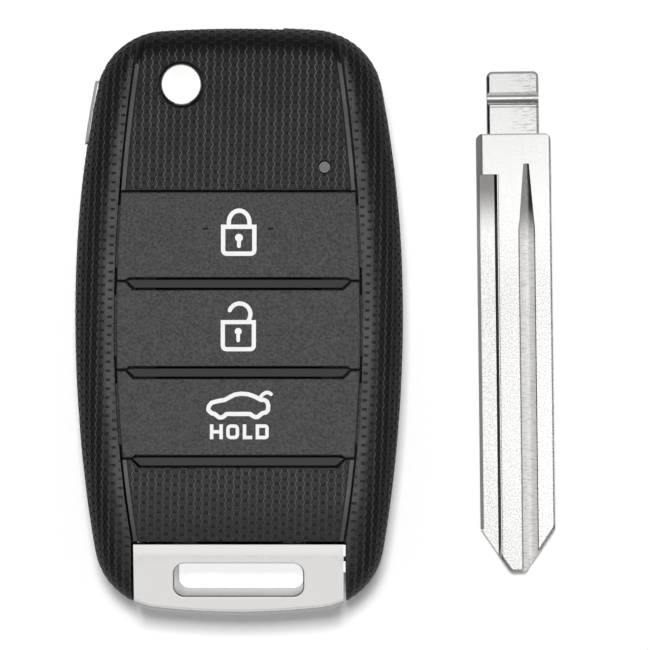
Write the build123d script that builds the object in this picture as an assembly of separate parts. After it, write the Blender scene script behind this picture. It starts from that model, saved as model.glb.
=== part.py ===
"""Folding key remote case: a flat black case with three wide keys, a round release button,
a plated end bar for the key ring, the sprung folding head inside it, and its loose key blade.

The case lies on its back. X runs across it, Y along it towards the folding head, Z up
through its front face. The origin is the middle of the flat back face. Millimetres."""

from build123d import *
import math
import os

# Case, seen from the front
case_length = 75.0
case_width = 41.82
widest_y = 1.0
side_draw_upper = 4.388
side_draw_lower = 4.051
top_end_radius = 150.0
bottom_end_radius = 90.0
top_corner_radius = 9.1
bottom_corner_radius = 9.0
notch_width = 0.9
notch_depth = 0.4

# Case, seen from the side
case_thickness = 15.4
crown_length_upper = 29.5
crown_radius_upper = 320.0
crown_length_lower = 16.5
crown_radius_lower = 45.0
front_edge_radius = 4.2
back_edge_radius = 3.4

# Shells
wall = 1.5
seam = 0.3
split_height = 6.0
deck_thickness = 1.2

# Strip between the two side rails, which the panel, the keys and the end bar fill
strip_half_width = 15.73
strip_widest_y = -1.2
strip_draw_upper = 3.18
strip_foot_half_width = 13.6
strip_foot_above_bar = 0.57

# Panel
border_width = 0.5
border_groove_width = 0.18
border_groove_depth = 0.15
sill_width = 2.6

# Keys, from the folding end down
keys_from_end = 21.18
first_key_pitch = 11.34
key_pitch = 11.22
key_gap = 0.28
key_names = ("key_lock", "key_unlock", "key_trunk")
key_thickness = 2.2
key_travel = 0.4
key_room = 0.12
key_lip_reach = 0.6
key_lip_height = 0.7
key_lip_end_room = 1.6
key_edge_radius = 0.18
plunger_radius = 2.2
plunger_height = 0.45

# Crossbars between the keys
crossbar_height = 1.02
crossbar_rise = 0.16
crossbar_tip_inset = 1.55
crossbar_upper_chamfer = 0.62
crossbar_lower_chamfer = 1.05
frame_width = 2.4
frame_thickness = 0.72

# Rubber mat under the keys
mat_sheet = 0.5
mat_side_room = 0.3
mat_overlap = 0.6
dome_base_radius = 3.0
dome_top_radius = 1.9
dome_height = 0.36
contact_radius = 1.5
contact_length = 0.8

# Folding head, turning about a line along Z
pivot_from_end = 7.7
barrel_radius = 5.6
barrel_bottom = 2.4
barrel_clearance = 0.08
barrel_top_room = 0.4
bore_radius = 2.75
bore_floor_thickness = 1.0
spline_chamber_radius = 3.6
spline_lug_radius = 4.3
spline_width = 1.6
spline_clearance = 0.1
arm_thickness = 6.4
arm_inner_side = 1.8
arm_over_pivot = 2.0
arm_inset = 0.25
arm_edge_chamfer = 0.4
cheek_proud = 0.32
cheek_above_pivot = 0.8
cheek_below_shoulder = 5.7
cheek_thickness = 3.4
cheek_gap = 0.25
head_room = 0.3

# Key blade, uncut, lying beside the case
blade_width = 9.6
blade_end_room = 2.9
blade_thickness = 2.4
tongue_width = 6.7
tongue_length = 8.15
tongue_thickness = 2.2
tongue_corner_radius = 0.7
tongue_notch_radius = 0.95
tongue_notch_depth = 0.5
tongue_notch_from_end = 3.55
shoulder_radius = 0.7
point_length = 5.6
point_flat = 2.0
point_radius = 0.9
flank_bevel_width = 0.7
flank_bevel_height = 1.6
edge_bevel = 0.32
ledge_width = 2.6
ledge_wall_width = 0.35
ledge_start = 5.3
groove_width = 2.1
groove_centre = 1.6
groove_start = 3.9
groove_run_in = 8.5
groove_nose_share = 0.35
back_groove_width = 2.0
back_groove_centre = -1.7
cut_depth = 0.75
blade_from_case = 14.59
blade_from_end = 13.15
blade_lean = 0.7

# Slot for the folded blade
blade_from_side = 6.91
blade_offset = 6.8
shoulder_below_pivot = 7.3
slot_height = 4.2
slot_room = 0.4
slot_wall = 0.9
socket_clearance = 0.1

# Roll pin hole through the head
pin_radius = 0.85
pin_hole_depth = 10.2

# Release button
button_travel = 1.2
button_room = 0.1
cap_radius = 2.72
cap_bevel = 0.3
cap_proud = 0.8
cap_height = 1.5
cap_socket_depth = 0.8
well_radius = 2.95
hub_stem_radius = 2.0
hub_flange_radius = 3.45
hub_flange_height = 1.5
hub_tail_radius = 1.5
hub_tail_length = 4.5

# Coil spring that throws the head open and lifts the button
spring_radius = 2.2
spring_wire = 0.6
spring_wire_sides = 8
spring_turns = 5.5
spring_end_room = 0.03

# Seat that holds the lower end of the head
seat_flange_radius = 3.87
seat_flange_height = 0.9
seat_stem_radius = 2.2
seat_clearance = 0.05
boss_radius = 5.0
washer_thickness = 0.25

# Light guide of the indicator
lens_from_rail = 4.83
lens_above_keys = 3.04
lens_radius = 0.7
lens_hole_radius = 0.85
lens_flange_radius = 1.3
lens_flange_height = 0.5
lens_sink = 0.08

# End bar
bar_length = 9.3
bar_edge_radius = 1.3
ring_slot_width = 16.3
ring_slot_height = 4.2
ring_slot_from_end = 4.65
ring_slot_corner = 1.3
ring_slot_edge = 0.25
bar_rib_reach = 0.25
bar_rib_length = 1.4
bar_rib_count = 2
bar_rib_start = 1.0
bar_rib_pitch = 2.1
tab_x = 7.0
tab_width = 3.0
tab_thickness = 1.6
tab_reach = 1.9
tab_head_width = 4.6
tab_head_length = 0.9
tab_room = 0.1

# Board tray
tray_top_room = 2.1
tray_bottom_room = 1.2
tray_wall = 0.9
tray_room = 0.2
tray_rim = 9.2
cell_radius = 10.1
cell_wall_height = 3.4
cell_side_room = 1.0
cell_from_tray_end = 15.6
cell_notch_width = 6.0
ledge_height = 4.6
ledge_size = 2.4

# Cover screws
upper_screw_from_side = 8.41
upper_screw_from_end = 7.9
lower_screw_above_bar = 3.2
screw_radius = 1.0
screw_clearance = 0.03
screw_head_radius = 1.8
screw_head_height = 1.1
screw_sink = 0.5
screw_length = 8.8
screw_end_room = 0.4
screw_cross_reach = 1.08
screw_cross_width = 0.42
screw_cross_depth = 0.6
screw_column_radius = 2.4

# Ribs in the back cover that carry the folded blade
rib_count = 6
rib_thickness = 0.9
rib_start = 6.5
rib_pitch = 8.6

# Making of the solids
far = 100.0
overcut = 1.0
bite = 0.2
tolerance = 0.05
walk_steps = 40


def bow_radius(run, draw):
    """Radius of an arc that draws in by draw over a run from its widest point."""
    return (run**2 + draw**2) / (2 * draw)


case_end = case_length / 2
case_side = case_width / 2
crown_start_upper = case_end - crown_length_upper
crown_start_lower = crown_length_lower - case_end
blade_line_x = blade_from_side - case_side
pivot_x = blade_line_x + blade_offset
pivot_y = case_end - pivot_from_end
shoulder_y = pivot_y - shoulder_below_pivot
blade_length = shoulder_y + case_end - blade_end_room
key_top = case_end - keys_from_end
key_first_gap = key_top - first_key_pitch
lens_x = strip_half_width - lens_from_rail
lens_y = key_top + lens_above_keys
bar_top = bar_length - case_end
ring_slot_y = ring_slot_from_end - case_end
side_radius_upper = bow_radius(case_end - widest_y, side_draw_upper)
side_radius_lower = bow_radius(case_end + widest_y, side_draw_lower)
strip_foot_y = bar_top + strip_foot_above_bar
strip_radius_upper = bow_radius(case_end - strip_widest_y, strip_draw_upper)
strip_radius_lower = bow_radius(strip_widest_y - strip_foot_y, strip_half_width - strip_foot_half_width)
tab_pocket_end = bar_top + tab_reach + tab_head_length + tab_room + wall
slot_roof = split_height + slot_height
slot_middle = split_height + slot_height / 2
arm_low = slot_middle - arm_thickness / 2
arm_high = slot_middle + arm_thickness / 2
deck_height = slot_roof + deck_thickness
head_deck_height = arm_high + head_room + deck_thickness
barrel_top = head_deck_height - barrel_top_room
bore_floor = barrel_bottom + bore_floor_thickness
hub_flange_top = head_deck_height - button_room
hub_flange_low = hub_flange_top - hub_flange_height
spline_floor = hub_flange_low - button_travel - button_room
key_underside = case_thickness - key_thickness
sill_top = key_underside - key_travel - key_room
boss_top = barrel_bottom - washer_thickness
slot_inner_x = blade_line_x + blade_width / 2 + slot_room
slot_end_y = shoulder_y - blade_length - slot_room
tray_left = slot_inner_x + slot_wall + tray_room
tray_top = shoulder_y - tray_top_room
tray_bottom = tab_pocket_end + tray_bottom_room
cell_x = tray_left + 2 * tray_wall + cell_side_room + cell_radius
cell_y = tray_bottom + cell_from_tray_end
last_gap = key_first_gap - (len(key_names) - 1) * key_pitch
screw_places = (
    (case_side - upper_screw_from_side, case_end - upper_screw_from_end),
    (0.0, bar_top + lower_screw_above_bar),
)


def block(x0, x1, y0, y1, z0, z1):
    """A box given by its lowest and highest corners."""
    return Pos((x0 + x1) / 2, (y0 + y1) / 2, (z0 + z1) / 2) * Box(x1 - x0, y1 - y0, z1 - z0)


def disc(x, y, radius, z0, z1):
    """An upright cylinder from z0 to z1."""
    return Pos(x, y, (z0 + z1) / 2) * Cylinder(radius, z1 - z0)


def prism(face, z0, z1):
    """A flat face drawn at height 0, as a solid from z0 to z1."""
    return extrude(Pos(0, 0, z0) * face, amount=z1 - z0, dir=(0, 0, 1))


def polygon(*points):
    """A flat face with straight sides."""
    return make_face(Polyline(*points, close=True))


def arc_x(y, half_width, radius, widest):
    """How far out at y a bowed side lies that reaches half_width at y = widest."""
    return half_width - radius + math.sqrt(radius**2 - (y - widest) ** 2)


def side_arc(y0, y1, half_width, radius, widest, sign):
    """A stretch of such a side, on the side that sign gives."""
    heights = (y0, (y0 + y1) / 2, y1)
    return ThreePointArc(*[(sign * arc_x(y, half_width, radius, widest), y) for y in heights])


def corner(half_width, side_radius, end, end_radius):
    """Where a side arc meets an end arc, found by walking along the side."""
    y = end
    for _ in range(walk_steps):
        x = arc_x(y, half_width, side_radius, widest_y)
        drop = end_radius - math.sqrt(end_radius**2 - x**2)
        y = end - math.copysign(drop, end)
    return x, y


def case_outline(inset=0.0):
    """The outline of the case from the front, shrunk all round by inset."""
    half = case_side - inset
    end = case_end - inset
    upper = side_radius_upper - inset
    lower = side_radius_lower - inset
    upper_x, upper_y = corner(half, upper, end, top_end_radius - inset)
    lower_x, lower_y = corner(half, lower, -end, bottom_end_radius - inset)
    edges = [
        side_arc(widest_y, upper_y, half, upper, widest_y, 1),
        ThreePointArc((upper_x, upper_y), (0, end), (-upper_x, upper_y)),
        side_arc(upper_y, widest_y, half, upper, widest_y, -1),
        side_arc(widest_y, lower_y, half, lower, widest_y, -1),
        ThreePointArc((-lower_x, lower_y), (0, -end), (lower_x, lower_y)),
        side_arc(lower_y, widest_y, half, lower, widest_y, 1),
    ]
    face = make_face(edges)
    for y, radius in ((upper_y, top_corner_radius), (lower_y, bottom_corner_radius)):
        corners = [v for v in face.vertices() if abs(v.Y - y) < tolerance]
        face = fillet(corners, radius - inset)
    return face


def crown_height(y):
    """Height of the front face at y."""
    if y > crown_start_upper:
        run, radius = y - crown_start_upper, crown_radius_upper
    elif y < crown_start_lower:
        run, radius = crown_start_lower - y, crown_radius_lower
    else:
        return case_thickness
    return case_thickness - radius + math.sqrt(radius**2 - run**2)


def crown_solid(inset=0.0):
    """Everything below the crowned front face, across the whole width."""
    reach = case_end + overcut
    stops = (reach, crown_start_upper, crown_start_lower, -reach)

    def crown_arc(a, b):
        return ThreePointArc(*[(y, crown_height(y) - inset) for y in (a, (a + b) / 2, b)])

    points = [(y, crown_height(y) - inset) for y in stops]
    edges = [
        crown_arc(stops[0], stops[1]),
        Line(points[1], points[2]),
        crown_arc(stops[2], stops[3]),
        Line(points[3], (-reach, inset)),
        Line((-reach, inset), (reach, inset)),
        Line((reach, inset), points[0]),
    ]
    return extrude(Plane.YZ * make_face(edges), amount=case_width, both=True)


def runs_across(edge):
    """Whether an edge is a straight line across the case at one height."""
    size = edge.bounding_box().size
    return size.Y < tolerance and size.Z < tolerance


def case_form(inset=0.0):
    """The case as one block with its edges rounded, shrunk all round by inset."""
    form = prism(case_outline(inset), inset, far) & crown_solid(inset)
    front = [e for e in form.edges() if e.bounding_box().min.Z > case_thickness / 2]
    form = fillet([e for e in front if not runs_across(e)], front_edge_radius - inset)
    back = form.edges().filter_by(lambda e: e.bounding_box().max.Z < inset + tolerance)
    return fillet(back, back_edge_radius - inset)


def strip_face(inset):
    """The strip between the side rails, its sides moved inwards by inset."""
    half = strip_half_width - inset
    foot = strip_foot_half_width - inset
    reach = case_end + overcut
    upper = strip_radius_upper
    lower = strip_radius_lower
    middle = strip_widest_y
    foot_y = middle - math.sqrt(lower**2 - (foot - half + lower) ** 2)
    top_x = arc_x(reach, half, upper, middle)
    edges = [
        Line((-foot, -reach), (foot, -reach)),
        Line((foot, -reach), (foot, foot_y)),
        side_arc(foot_y, middle, half, lower, middle, 1),
        side_arc(middle, reach, half, upper, middle, 1),
        Line((top_x, reach), (-top_x, reach)),
        side_arc(reach, middle, half, upper, middle, -1),
        side_arc(middle, foot_y, half, lower, middle, -1),
        Line((-foot, foot_y), (-foot, -reach)),
    ]
    return make_face(edges)


def strip_x(y):
    """Half the width of the strip at y."""
    radius = strip_radius_upper if y > strip_widest_y else strip_radius_lower
    return arc_x(y, strip_half_width, radius, strip_widest_y)


def key_span(number):
    """Lower and upper end of a key, gaps taken off."""
    top = key_top if number == 0 else key_first_gap - (number - 1) * key_pitch
    bottom = key_first_gap - number * key_pitch
    return bottom + key_gap / 2, top - key_gap / 2


def key_middle(number):
    """Middle of a key along the case."""
    return sum(key_span(number)) / 2


def crossbar_face(number, grow=0.0):
    """Outline of the crossbar below a key: pointed ends, cut back more on its lower side."""
    gap_y = key_first_gap - number * key_pitch
    top = gap_y + crossbar_rise + grow
    bottom = gap_y + crossbar_rise - crossbar_height - grow
    tip = strip_x(gap_y) - crossbar_tip_inset + grow
    upper = tip - crossbar_upper_chamfer
    lower = tip - crossbar_lower_chamfer
    right = [(lower, bottom), (tip, gap_y), (upper, top)]
    return polygon(*right, *[(-x, y) for x, y in reversed(right)])


def end_notches():
    """The two small upright notches where the side rails meet the end of the panel."""
    x = strip_x(case_end)
    sliver = case_outline() & (Pos(x, 0) * Rectangle(tolerance, case_length))
    y = sliver.bounding_box().max.Y
    cuts = Part()
    for side in (-x, x):
        mouth = (side - notch_width, y + notch_depth), (side + notch_width, y + notch_depth)
        cuts += prism(polygon((side, y - notch_depth), *reversed(mouth)), -overcut, far)
    return cuts


def flank_x(y):
    """Half the width of the case at y, along its upper sides."""
    return arc_x(y, case_side, side_radius_upper, widest_y)


def bar_room():
    """The space at the end of the case that the end bar fills, with its seam."""
    return prism(strip_face(0), -overcut, far) & block(-far, far, -far, bar_top, -overcut, far)


def head_reach():
    """How far from the pivot the head's cheek reaches, with its room."""
    return flank_x(pivot_y) + pivot_x + cheek_proud + head_room


def head_deck_y():
    """Where the deck steps up to clear the head."""
    return pivot_y - head_reach() - head_room / 2


def head_way():
    """What the head, its barrel and the folded blade need as the head turns half a circle."""
    low = arm_low - head_room
    high = arm_high + head_room
    opened_x = 2 * pivot_x + flank_x(shoulder_y) + cheek_proud + head_room
    room = disc(pivot_x, pivot_y, head_reach(), low, high)
    room += block(-far, opened_x, pivot_y, far, low, high)
    room += block(-far, pivot_x, shoulder_y - head_room, far, low, high)
    room += block(-far, slot_inner_x, slot_end_y, pivot_y, split_height, slot_roof)
    return room


def screw_hole(x, y):
    """The hole and sunk head seat of a cover screw."""
    end = screw_sink + screw_length + screw_end_room
    hole = disc(x, y, screw_radius + screw_clearance, -overcut, end)
    seat_radius = screw_head_radius + screw_clearance
    return hole + disc(x, y, seat_radius, -overcut, screw_sink + screw_head_height)


def bar_tabs(grow):
    """T-shaped tabs by which the end bar hooks into the back cover, grown for their pockets."""
    low = split_height - tab_thickness - grow
    end = bar_top + tab_reach
    tabs = Part()
    for x in (-tab_x, tab_x):
        half = tab_width / 2 + grow
        tabs += block(x - half, x + half, bar_top - seam - bite, end, low, split_height)
        half = tab_head_width / 2 + grow
        tabs += block(x - half, x + half, end - grow, end + tab_head_length + grow, low, split_height)
    return tabs


def make_front_cover(form, inner, way):
    """Front moulding: two side rails joined by a deck that roofs the blade slot."""
    cover = form & block(-far, far, -far, far, split_height, far)
    right_side = block(slot_inner_x + slot_wall, far, bar_top + wall, far, 0, far)
    cover -= inner & right_side & block(-far, far, -far, far, 0, slot_roof)
    core = inner & right_side & block(0, far, -far, far, slot_roof - overcut, far)
    cover -= core - prism(strip_face(-wall), 0, far)
    cover -= prism(strip_face(0), deck_height, far) & block(-far, far, -far, head_deck_y(), 0, far)
    cover -= prism(strip_face(0), head_deck_height, far)
    for x, y in screw_places:
        cover += disc(x, y, screw_column_radius, split_height, slot_roof)
    window_right = strip_x(last_gap) - sill_width
    window = block(tray_left, window_right, last_gap + sill_width, key_top - sill_width, 0, far)
    cover -= window
    low, high = sill_top, key_underside + key_lip_height + key_room
    groove = prism(strip_face(-key_lip_reach - key_room), low, high)
    cover -= groove & block(-far, far, last_gap + key_gap, key_top - key_gap, 0, far)
    cover -= disc(pivot_x, pivot_y, barrel_radius + barrel_clearance, slot_roof, far)
    cover -= disc(lens_x, lens_y, lens_hole_radius, 0, far)
    cover = cover - bar_room() - way - end_notches()
    for x, y in screw_places:
        cover -= screw_hole(x, y)
    return cover


def make_back_cover(form, inner, way):
    """Back moulding: a shallow tub with ribs under the blade slot and two screw columns."""
    low_part = form & block(-far, far, -far, far, -overcut, split_height)
    end_wall_y = bar_top + wall
    cover = low_part - (inner & block(-far, far, end_wall_y, far, 0, far))
    for number in range(rib_count):
        y = shoulder_y - rib_start - number * rib_pitch
        cover += low_part & block(-far, slot_inner_x, y, y + rib_thickness, 0, split_height)
    spine_x = slot_inner_x + slot_wall
    cover += low_part & block(slot_inner_x, spine_x, end_wall_y, shoulder_y, 0, split_height)
    for x in (-tab_x, tab_x):
        half = tab_head_width / 2 + wall
        cover += low_part & block(x - half, x + half, bar_top, tab_pocket_end, 0, far)
    cover += disc(pivot_x, pivot_y, boss_radius, wall / 2, boss_top)
    for x, y in screw_places:
        cover += disc(x, y, screw_column_radius, wall / 2, split_height)
    cover = cover - bar_room() - way - end_notches() - bar_tabs(tab_room)
    cover -= disc(pivot_x, pivot_y, barrel_radius + head_room, boss_top, far)
    seat_low = boss_top - seat_flange_height
    cover -= disc(pivot_x, pivot_y, seat_flange_radius + seat_clearance, seat_low, far)
    for x, y in screw_places:
        cover -= screw_hole(x, y)
    return cover


def make_face_panel(form):
    """Middle moulding of the front: textured panels above and below the keys, one piece."""
    panel = form & prism(strip_face(seam), deck_height, far)
    panel &= block(-far, far, bar_top + seam, far, deck_height, far)
    panel -= block(-far, far, head_deck_y() - seam, far, 0, head_deck_height)
    window = block(-far, far, last_gap - key_gap / 2, key_top + key_gap / 2, 0, far)
    sills = prism(strip_face(seam) - strip_face(sill_width), 0, sill_top)
    panel -= window - sills
    mat_room = block(-far, far, last_gap, key_top, 0, deck_height + mat_sheet)
    panel -= mat_room & prism(strip_face(sill_width - mat_overlap - mat_side_room), 0, far)
    panel -= prism(crossbar_face(len(key_names) - 1, key_gap), deck_height + mat_sheet, far)
    panel -= disc(pivot_x, pivot_y, well_radius, 0, far)
    panel -= disc(lens_x, lens_y, lens_hole_radius, 0, far)
    line = strip_face(border_width + seam) - strip_face(border_width + seam + border_groove_width)
    skin = form - Pos(0, 0, -border_groove_depth) * form
    return panel - (prism(line, deck_height, far) & skin) - end_notches()


def make_key_frame(form):
    """Smooth frame under the keys, whose crossbars stand up between them."""
    low = deck_height + mat_sheet
    high = low + frame_thickness
    outer = sill_width + seam / 2
    top = key_top - seam
    frame = prism(strip_face(outer) - strip_face(outer + frame_width), low, high)
    frame &= block(-far, far, last_gap, top, low, high)
    frame += prism(strip_face(outer), low, high) & block(-far, far, top - frame_width, top, 0, far)
    for number in range(len(key_names)):
        bar = prism(crossbar_face(number), low, far) & form
        frame += bar & (prism(strip_face(outer), low, far) + block(-far, far, -far, far, sill_top, far))
    return frame


def make_key(form, number):
    """One key: a plate flush with the case, lips under the rails, a plunger below."""
    bottom, top = key_span(number)
    band = block(-far, far, bottom, top, key_underside, far)
    plate = form & prism(strip_face(seam), key_underside, far) & band
    for other in (number - 1, number):
        if other >= 0:
            plate -= prism(crossbar_face(other, key_gap), 0, far)
    rim = [e for e in plate.edges() if e.bounding_box().min.Z > key_underside + key_thickness / 2]
    plate = fillet(rim, key_edge_radius)
    lips = prism(strip_face(-key_lip_reach), key_underside, key_underside + key_lip_height)
    lips -= prism(strip_face(seam + overcut), 0, far)
    lips &= block(-far, far, bottom + key_lip_end_room, top - key_lip_end_room, 0, far)
    low = key_underside - plunger_height
    return plate + lips + disc(0, key_middle(number), plunger_radius, low, key_underside + bite)


def make_keypad_mat():
    """Rubber sheet with a dome over, and a contact under, the middle of each key."""
    top_of_sheet = deck_height + mat_sheet
    sheet = prism(strip_face(sill_width - mat_overlap), deck_height, top_of_sheet)
    sheet &= block(-far, far, last_gap + mat_side_room, key_top - mat_side_room, 0, far)
    for number in range(len(key_names)):
        y = key_middle(number)
        cone = Cone(dome_base_radius, dome_top_radius, dome_height)
        sheet += Pos(0, y, top_of_sheet + dome_height / 2) * cone
        sheet += disc(0, y, contact_radius, deck_height - contact_length, deck_height + bite)
    return sheet


def make_board_tray():
    """Open tray for the circuit board, with a ring wall for the coin cell and four ledges."""
    outside = case_form(wall + tray_room) & block(tray_left, far, tray_bottom, tray_top, 0, tray_rim)
    inside = case_form(wall + tray_room + tray_wall)
    left = tray_left + tray_wall
    inside &= block(left, far, tray_bottom + tray_wall, tray_top - tray_wall, 0, far)
    tray = outside - inside
    floor = wall + tray_room + tray_wall
    ring = disc(cell_x, cell_y, cell_radius + tray_wall, floor - bite, floor + cell_wall_height)
    ring -= disc(cell_x, cell_y, cell_radius, 0, far)
    half = cell_notch_width / 2
    tray += (ring & outside) - block(cell_x - half, cell_x + half, -far, cell_y, floor, far)
    right = case_side - wall - ledge_size
    for x in (left, right - ledge_size):
        for y in (tray_bottom + tray_wall, tray_top - tray_wall - ledge_size):
            ledge = block(x, x + 2 * ledge_size, y, y + ledge_size, floor - bite, floor + ledge_height)
            tray += ledge & outside
    return tray


def on_slot_rim(edge):
    """Whether an edge is part of one of the key ring slot's two rims."""
    box = edge.bounding_box()
    inside_x = max(abs(box.min.X), abs(box.max.X)) < ring_slot_width / 2 + tolerance
    low = ring_slot_y - ring_slot_height / 2 - tolerance
    high = ring_slot_y + ring_slot_height / 2 + tolerance
    return inside_x and box.min.Y > low and box.max.Y < high and box.size.Z < case_thickness / 2


def on_bar_end(edge):
    """Whether an edge is the front or back edge of the end bar's outer end."""
    middle = edge @ 0.5
    return middle.Y < ring_slot_y - ring_slot_height / 2 and abs(middle.X) < tolerance


def make_end_bar():
    """Plated end bar with the slot for the key ring, hooked into the back cover."""
    sharp = prism(case_outline(), 0, far) & crown_solid()
    bar = sharp & prism(strip_face(seam), -overcut, far)
    bar &= block(-far, far, -far, bar_top - seam / 2, -overcut, far)
    bar = fillet([e for e in bar.edges() if on_bar_end(e)], bar_edge_radius)
    slot = Pos(0, ring_slot_y) * RectangleRounded(ring_slot_width, ring_slot_height, ring_slot_corner)
    bar -= prism(slot, -overcut, far)
    bar = fillet([e for e in bar.edges() if on_slot_rim(e)], ring_slot_edge)
    flank = strip_foot_half_width - seam
    for number in range(bar_rib_count):
        y = bar_top - bar_rib_start - number * bar_rib_pitch
        half = bar_rib_length / 2
        top = crown_height(y - half) - bar_edge_radius
        bar += block(flank - bite, flank + bar_rib_reach, y - half, y + half, split_height, top)
    return bar + bar_tabs(0) - blade_point_room()


def blade_point_room():
    """The pocket in the end bar that the point of the folded blade reaches into."""
    half = blade_width / 2 + slot_room
    start = shoulder_y - blade_length + point_length
    end = slot_end_y
    flat = point_flat / 2 + slot_room
    points = [
        (blade_line_x - far, bar_top + overcut),
        (blade_line_x + half, bar_top + overcut),
        (blade_line_x + half, start),
        (blade_line_x + flat, end),
        (blade_line_x - far, end),
    ]
    return prism(polygon(*points), split_height, slot_roof)


def spline_lugs(clearance, z0, z1):
    """Four lugs about the pivot, as two crossed bars with rounded tips."""
    radius = spline_lug_radius - clearance
    width = spline_width - 2 * clearance
    lugs = Box(2 * radius, width, z1 - z0) + Box(width, 2 * radius, z1 - z0)
    lugs &= Cylinder(radius, z1 - z0)
    return Pos(pivot_x, pivot_y, (z0 + z1) / 2) * lugs


def make_flip_head():
    """Cast head: a barrel round the pivot, an arm with the blade socket, and a cheek."""
    inner_x = pivot_x - arm_inner_side
    arm = prism(case_outline(arm_inset), arm_low, arm_high)
    arm &= block(-far, pivot_x + arm_over_pivot, pivot_y, far, 0, far) + block(
        -far, inner_x, shoulder_y, pivot_y, 0, far
    )
    proud = prism(case_outline(-cheek_proud), arm_low, arm_high)
    arm += proud & block(-far, blade_line_x, shoulder_y, pivot_y + cheek_above_pivot, 0, far)
    faces = (arm.faces().sort_by(Axis.Z)[0], arm.faces().sort_by(Axis.Z)[-1])
    arm = chamfer([e for f in faces for e in f.edges()], arm_edge_chamfer)
    head = arm + make_cheek() + disc(pivot_x, pivot_y, barrel_radius, barrel_bottom, barrel_top)
    head -= disc(pivot_x, pivot_y, bore_radius, bore_floor, far)
    head -= disc(pivot_x, pivot_y, spline_chamber_radius, spline_floor, far)
    head -= spline_lugs(0, spline_floor, barrel_top + overcut)
    head -= disc(pivot_x, pivot_y, seat_stem_radius + seat_clearance, 0, far)
    head -= blade_socket()
    pin_y = shoulder_y + tongue_length - tongue_notch_from_end
    pin_z = slot_middle + tongue_thickness / 2 + pin_radius - tongue_notch_depth
    pin = Rot(0, 90, 0) * Cylinder(pin_radius, 2 * pin_hole_depth)
    return head - Pos(-case_side, pin_y, pin_z) * pin


def make_cheek():
    """Thin plate of the head that runs down beside the folded blade and thins to its end."""
    half = cheek_thickness / 2
    cheek_bottom = shoulder_y - cheek_below_shoulder
    cheek = prism(case_outline(-cheek_proud), slot_middle - half, slot_middle + half)
    inner_x = blade_line_x - blade_width / 2 - cheek_gap
    cheek &= block(-far, inner_x, cheek_bottom, shoulder_y + arm_edge_chamfer, 0, far)
    at_shoulder = flank_x(shoulder_y) + cheek_proud
    at_end = flank_x(cheek_bottom)
    taper = polygon(
        (-at_shoulder, shoulder_y),
        (-at_end, cheek_bottom),
        (-at_end, cheek_bottom - overcut),
        (-at_end - overcut, cheek_bottom - overcut),
        (-at_shoulder - overcut, shoulder_y),
    )
    return cheek - prism(taper, 0, far)


def blade_socket():
    """The pocket in the arm that takes the tongue of the blade."""
    half_x = tongue_width / 2 + socket_clearance
    half_z = tongue_thickness / 2 + socket_clearance
    end = shoulder_y + tongue_length + socket_clearance
    x0, x1 = blade_line_x - half_x, blade_line_x + half_x
    return block(x0, x1, shoulder_y - overcut, end, slot_middle - half_z, slot_middle + half_z)


def make_flip_spring():
    """Coil spring in the barrel, which turns the head and lifts the release button."""
    start = bore_floor + spring_wire / 2 + spring_end_room
    height = hub_flange_low - spring_wire / 2 - spring_end_room - start
    path = Helix(pitch=height / spring_turns, height=height, radius=spring_radius)
    section = Plane(origin=path @ 0, z_dir=path % 0) * RegularPolygon(spring_wire / 2, spring_wire_sides)
    return Pos(pivot_x, pivot_y, start) * sweep(section, path=path)


def make_spring_seat():
    """Flanged seat in the back cover; the head turns on its stem."""
    low = boss_top - seat_flange_height
    seat = disc(pivot_x, pivot_y, seat_flange_radius, low, boss_top)
    return seat + disc(pivot_x, pivot_y, seat_stem_radius, low, bore_floor - seat_clearance)


def make_pivot_washer():
    """Thin washer between the barrel and the boss of the back cover."""
    washer = disc(pivot_x, pivot_y, boss_radius, boss_top, barrel_bottom)
    return washer - disc(pivot_x, pivot_y, seat_stem_radius + seat_clearance, 0, far)


def make_button_hub():
    """Body of the release button: stem, splined flange and a tail inside the spring."""
    hub = disc(pivot_x, pivot_y, hub_flange_radius, hub_flange_low, hub_flange_top)
    hub += spline_lugs(spline_clearance, hub_flange_low, hub_flange_top)
    hub += disc(pivot_x, pivot_y, hub_stem_radius, hub_flange_low, cap_underside() + cap_socket_depth)
    tail_low = hub_flange_low - hub_tail_length
    return hub + disc(pivot_x, pivot_y, hub_tail_radius, tail_low, hub_flange_low + bite)


def cap_underside():
    """Height of the lower face of the release button's cap."""
    return crown_height(pivot_y) + cap_proud - cap_height


def make_button_cap():
    """Plated cap of the release button, bevelled round its edge, pressed on the stem."""
    low = cap_underside()
    top = low + cap_height
    profile = polygon(
        (0, low),
        (cap_radius, low),
        (cap_radius, top - cap_bevel),
        (cap_radius - cap_bevel, top),
        (0, top),
    )
    cap = Pos(pivot_x, pivot_y, 0) * revolve(Plane.XZ * profile, axis=Axis.Z)
    return cap - disc(pivot_x, pivot_y, hub_stem_radius, low - overcut, low + cap_socket_depth)


def make_led_lens():
    """Light guide of the indicator, held by a flange under the deck."""
    top = crown_height(lens_y) - lens_sink
    lens = disc(lens_x, lens_y, lens_radius, slot_roof - lens_flange_height, top)
    return lens + disc(lens_x, lens_y, lens_flange_radius, slot_roof - lens_flange_height, slot_roof)


def make_cover_screws():
    """Two cross-head screws that hold the covers together from the back."""
    screws = []
    for x, y in screw_places:
        head_top = screw_sink + screw_head_height
        screw = disc(x, y, screw_head_radius, screw_sink, head_top)
        screw += disc(x, y, screw_radius, screw_sink, screw_sink + screw_length)
        long, short = screw_cross_reach, screw_cross_width / 2
        cross_top = screw_sink + screw_cross_depth
        for half_x, half_y in ((long, short), (short, long)):
            screw -= block(x - half_x, x + half_x, y - half_y, y + half_y, -overcut, cross_top)
        screws.append(screw)
    return Compound(children=screws)


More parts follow.
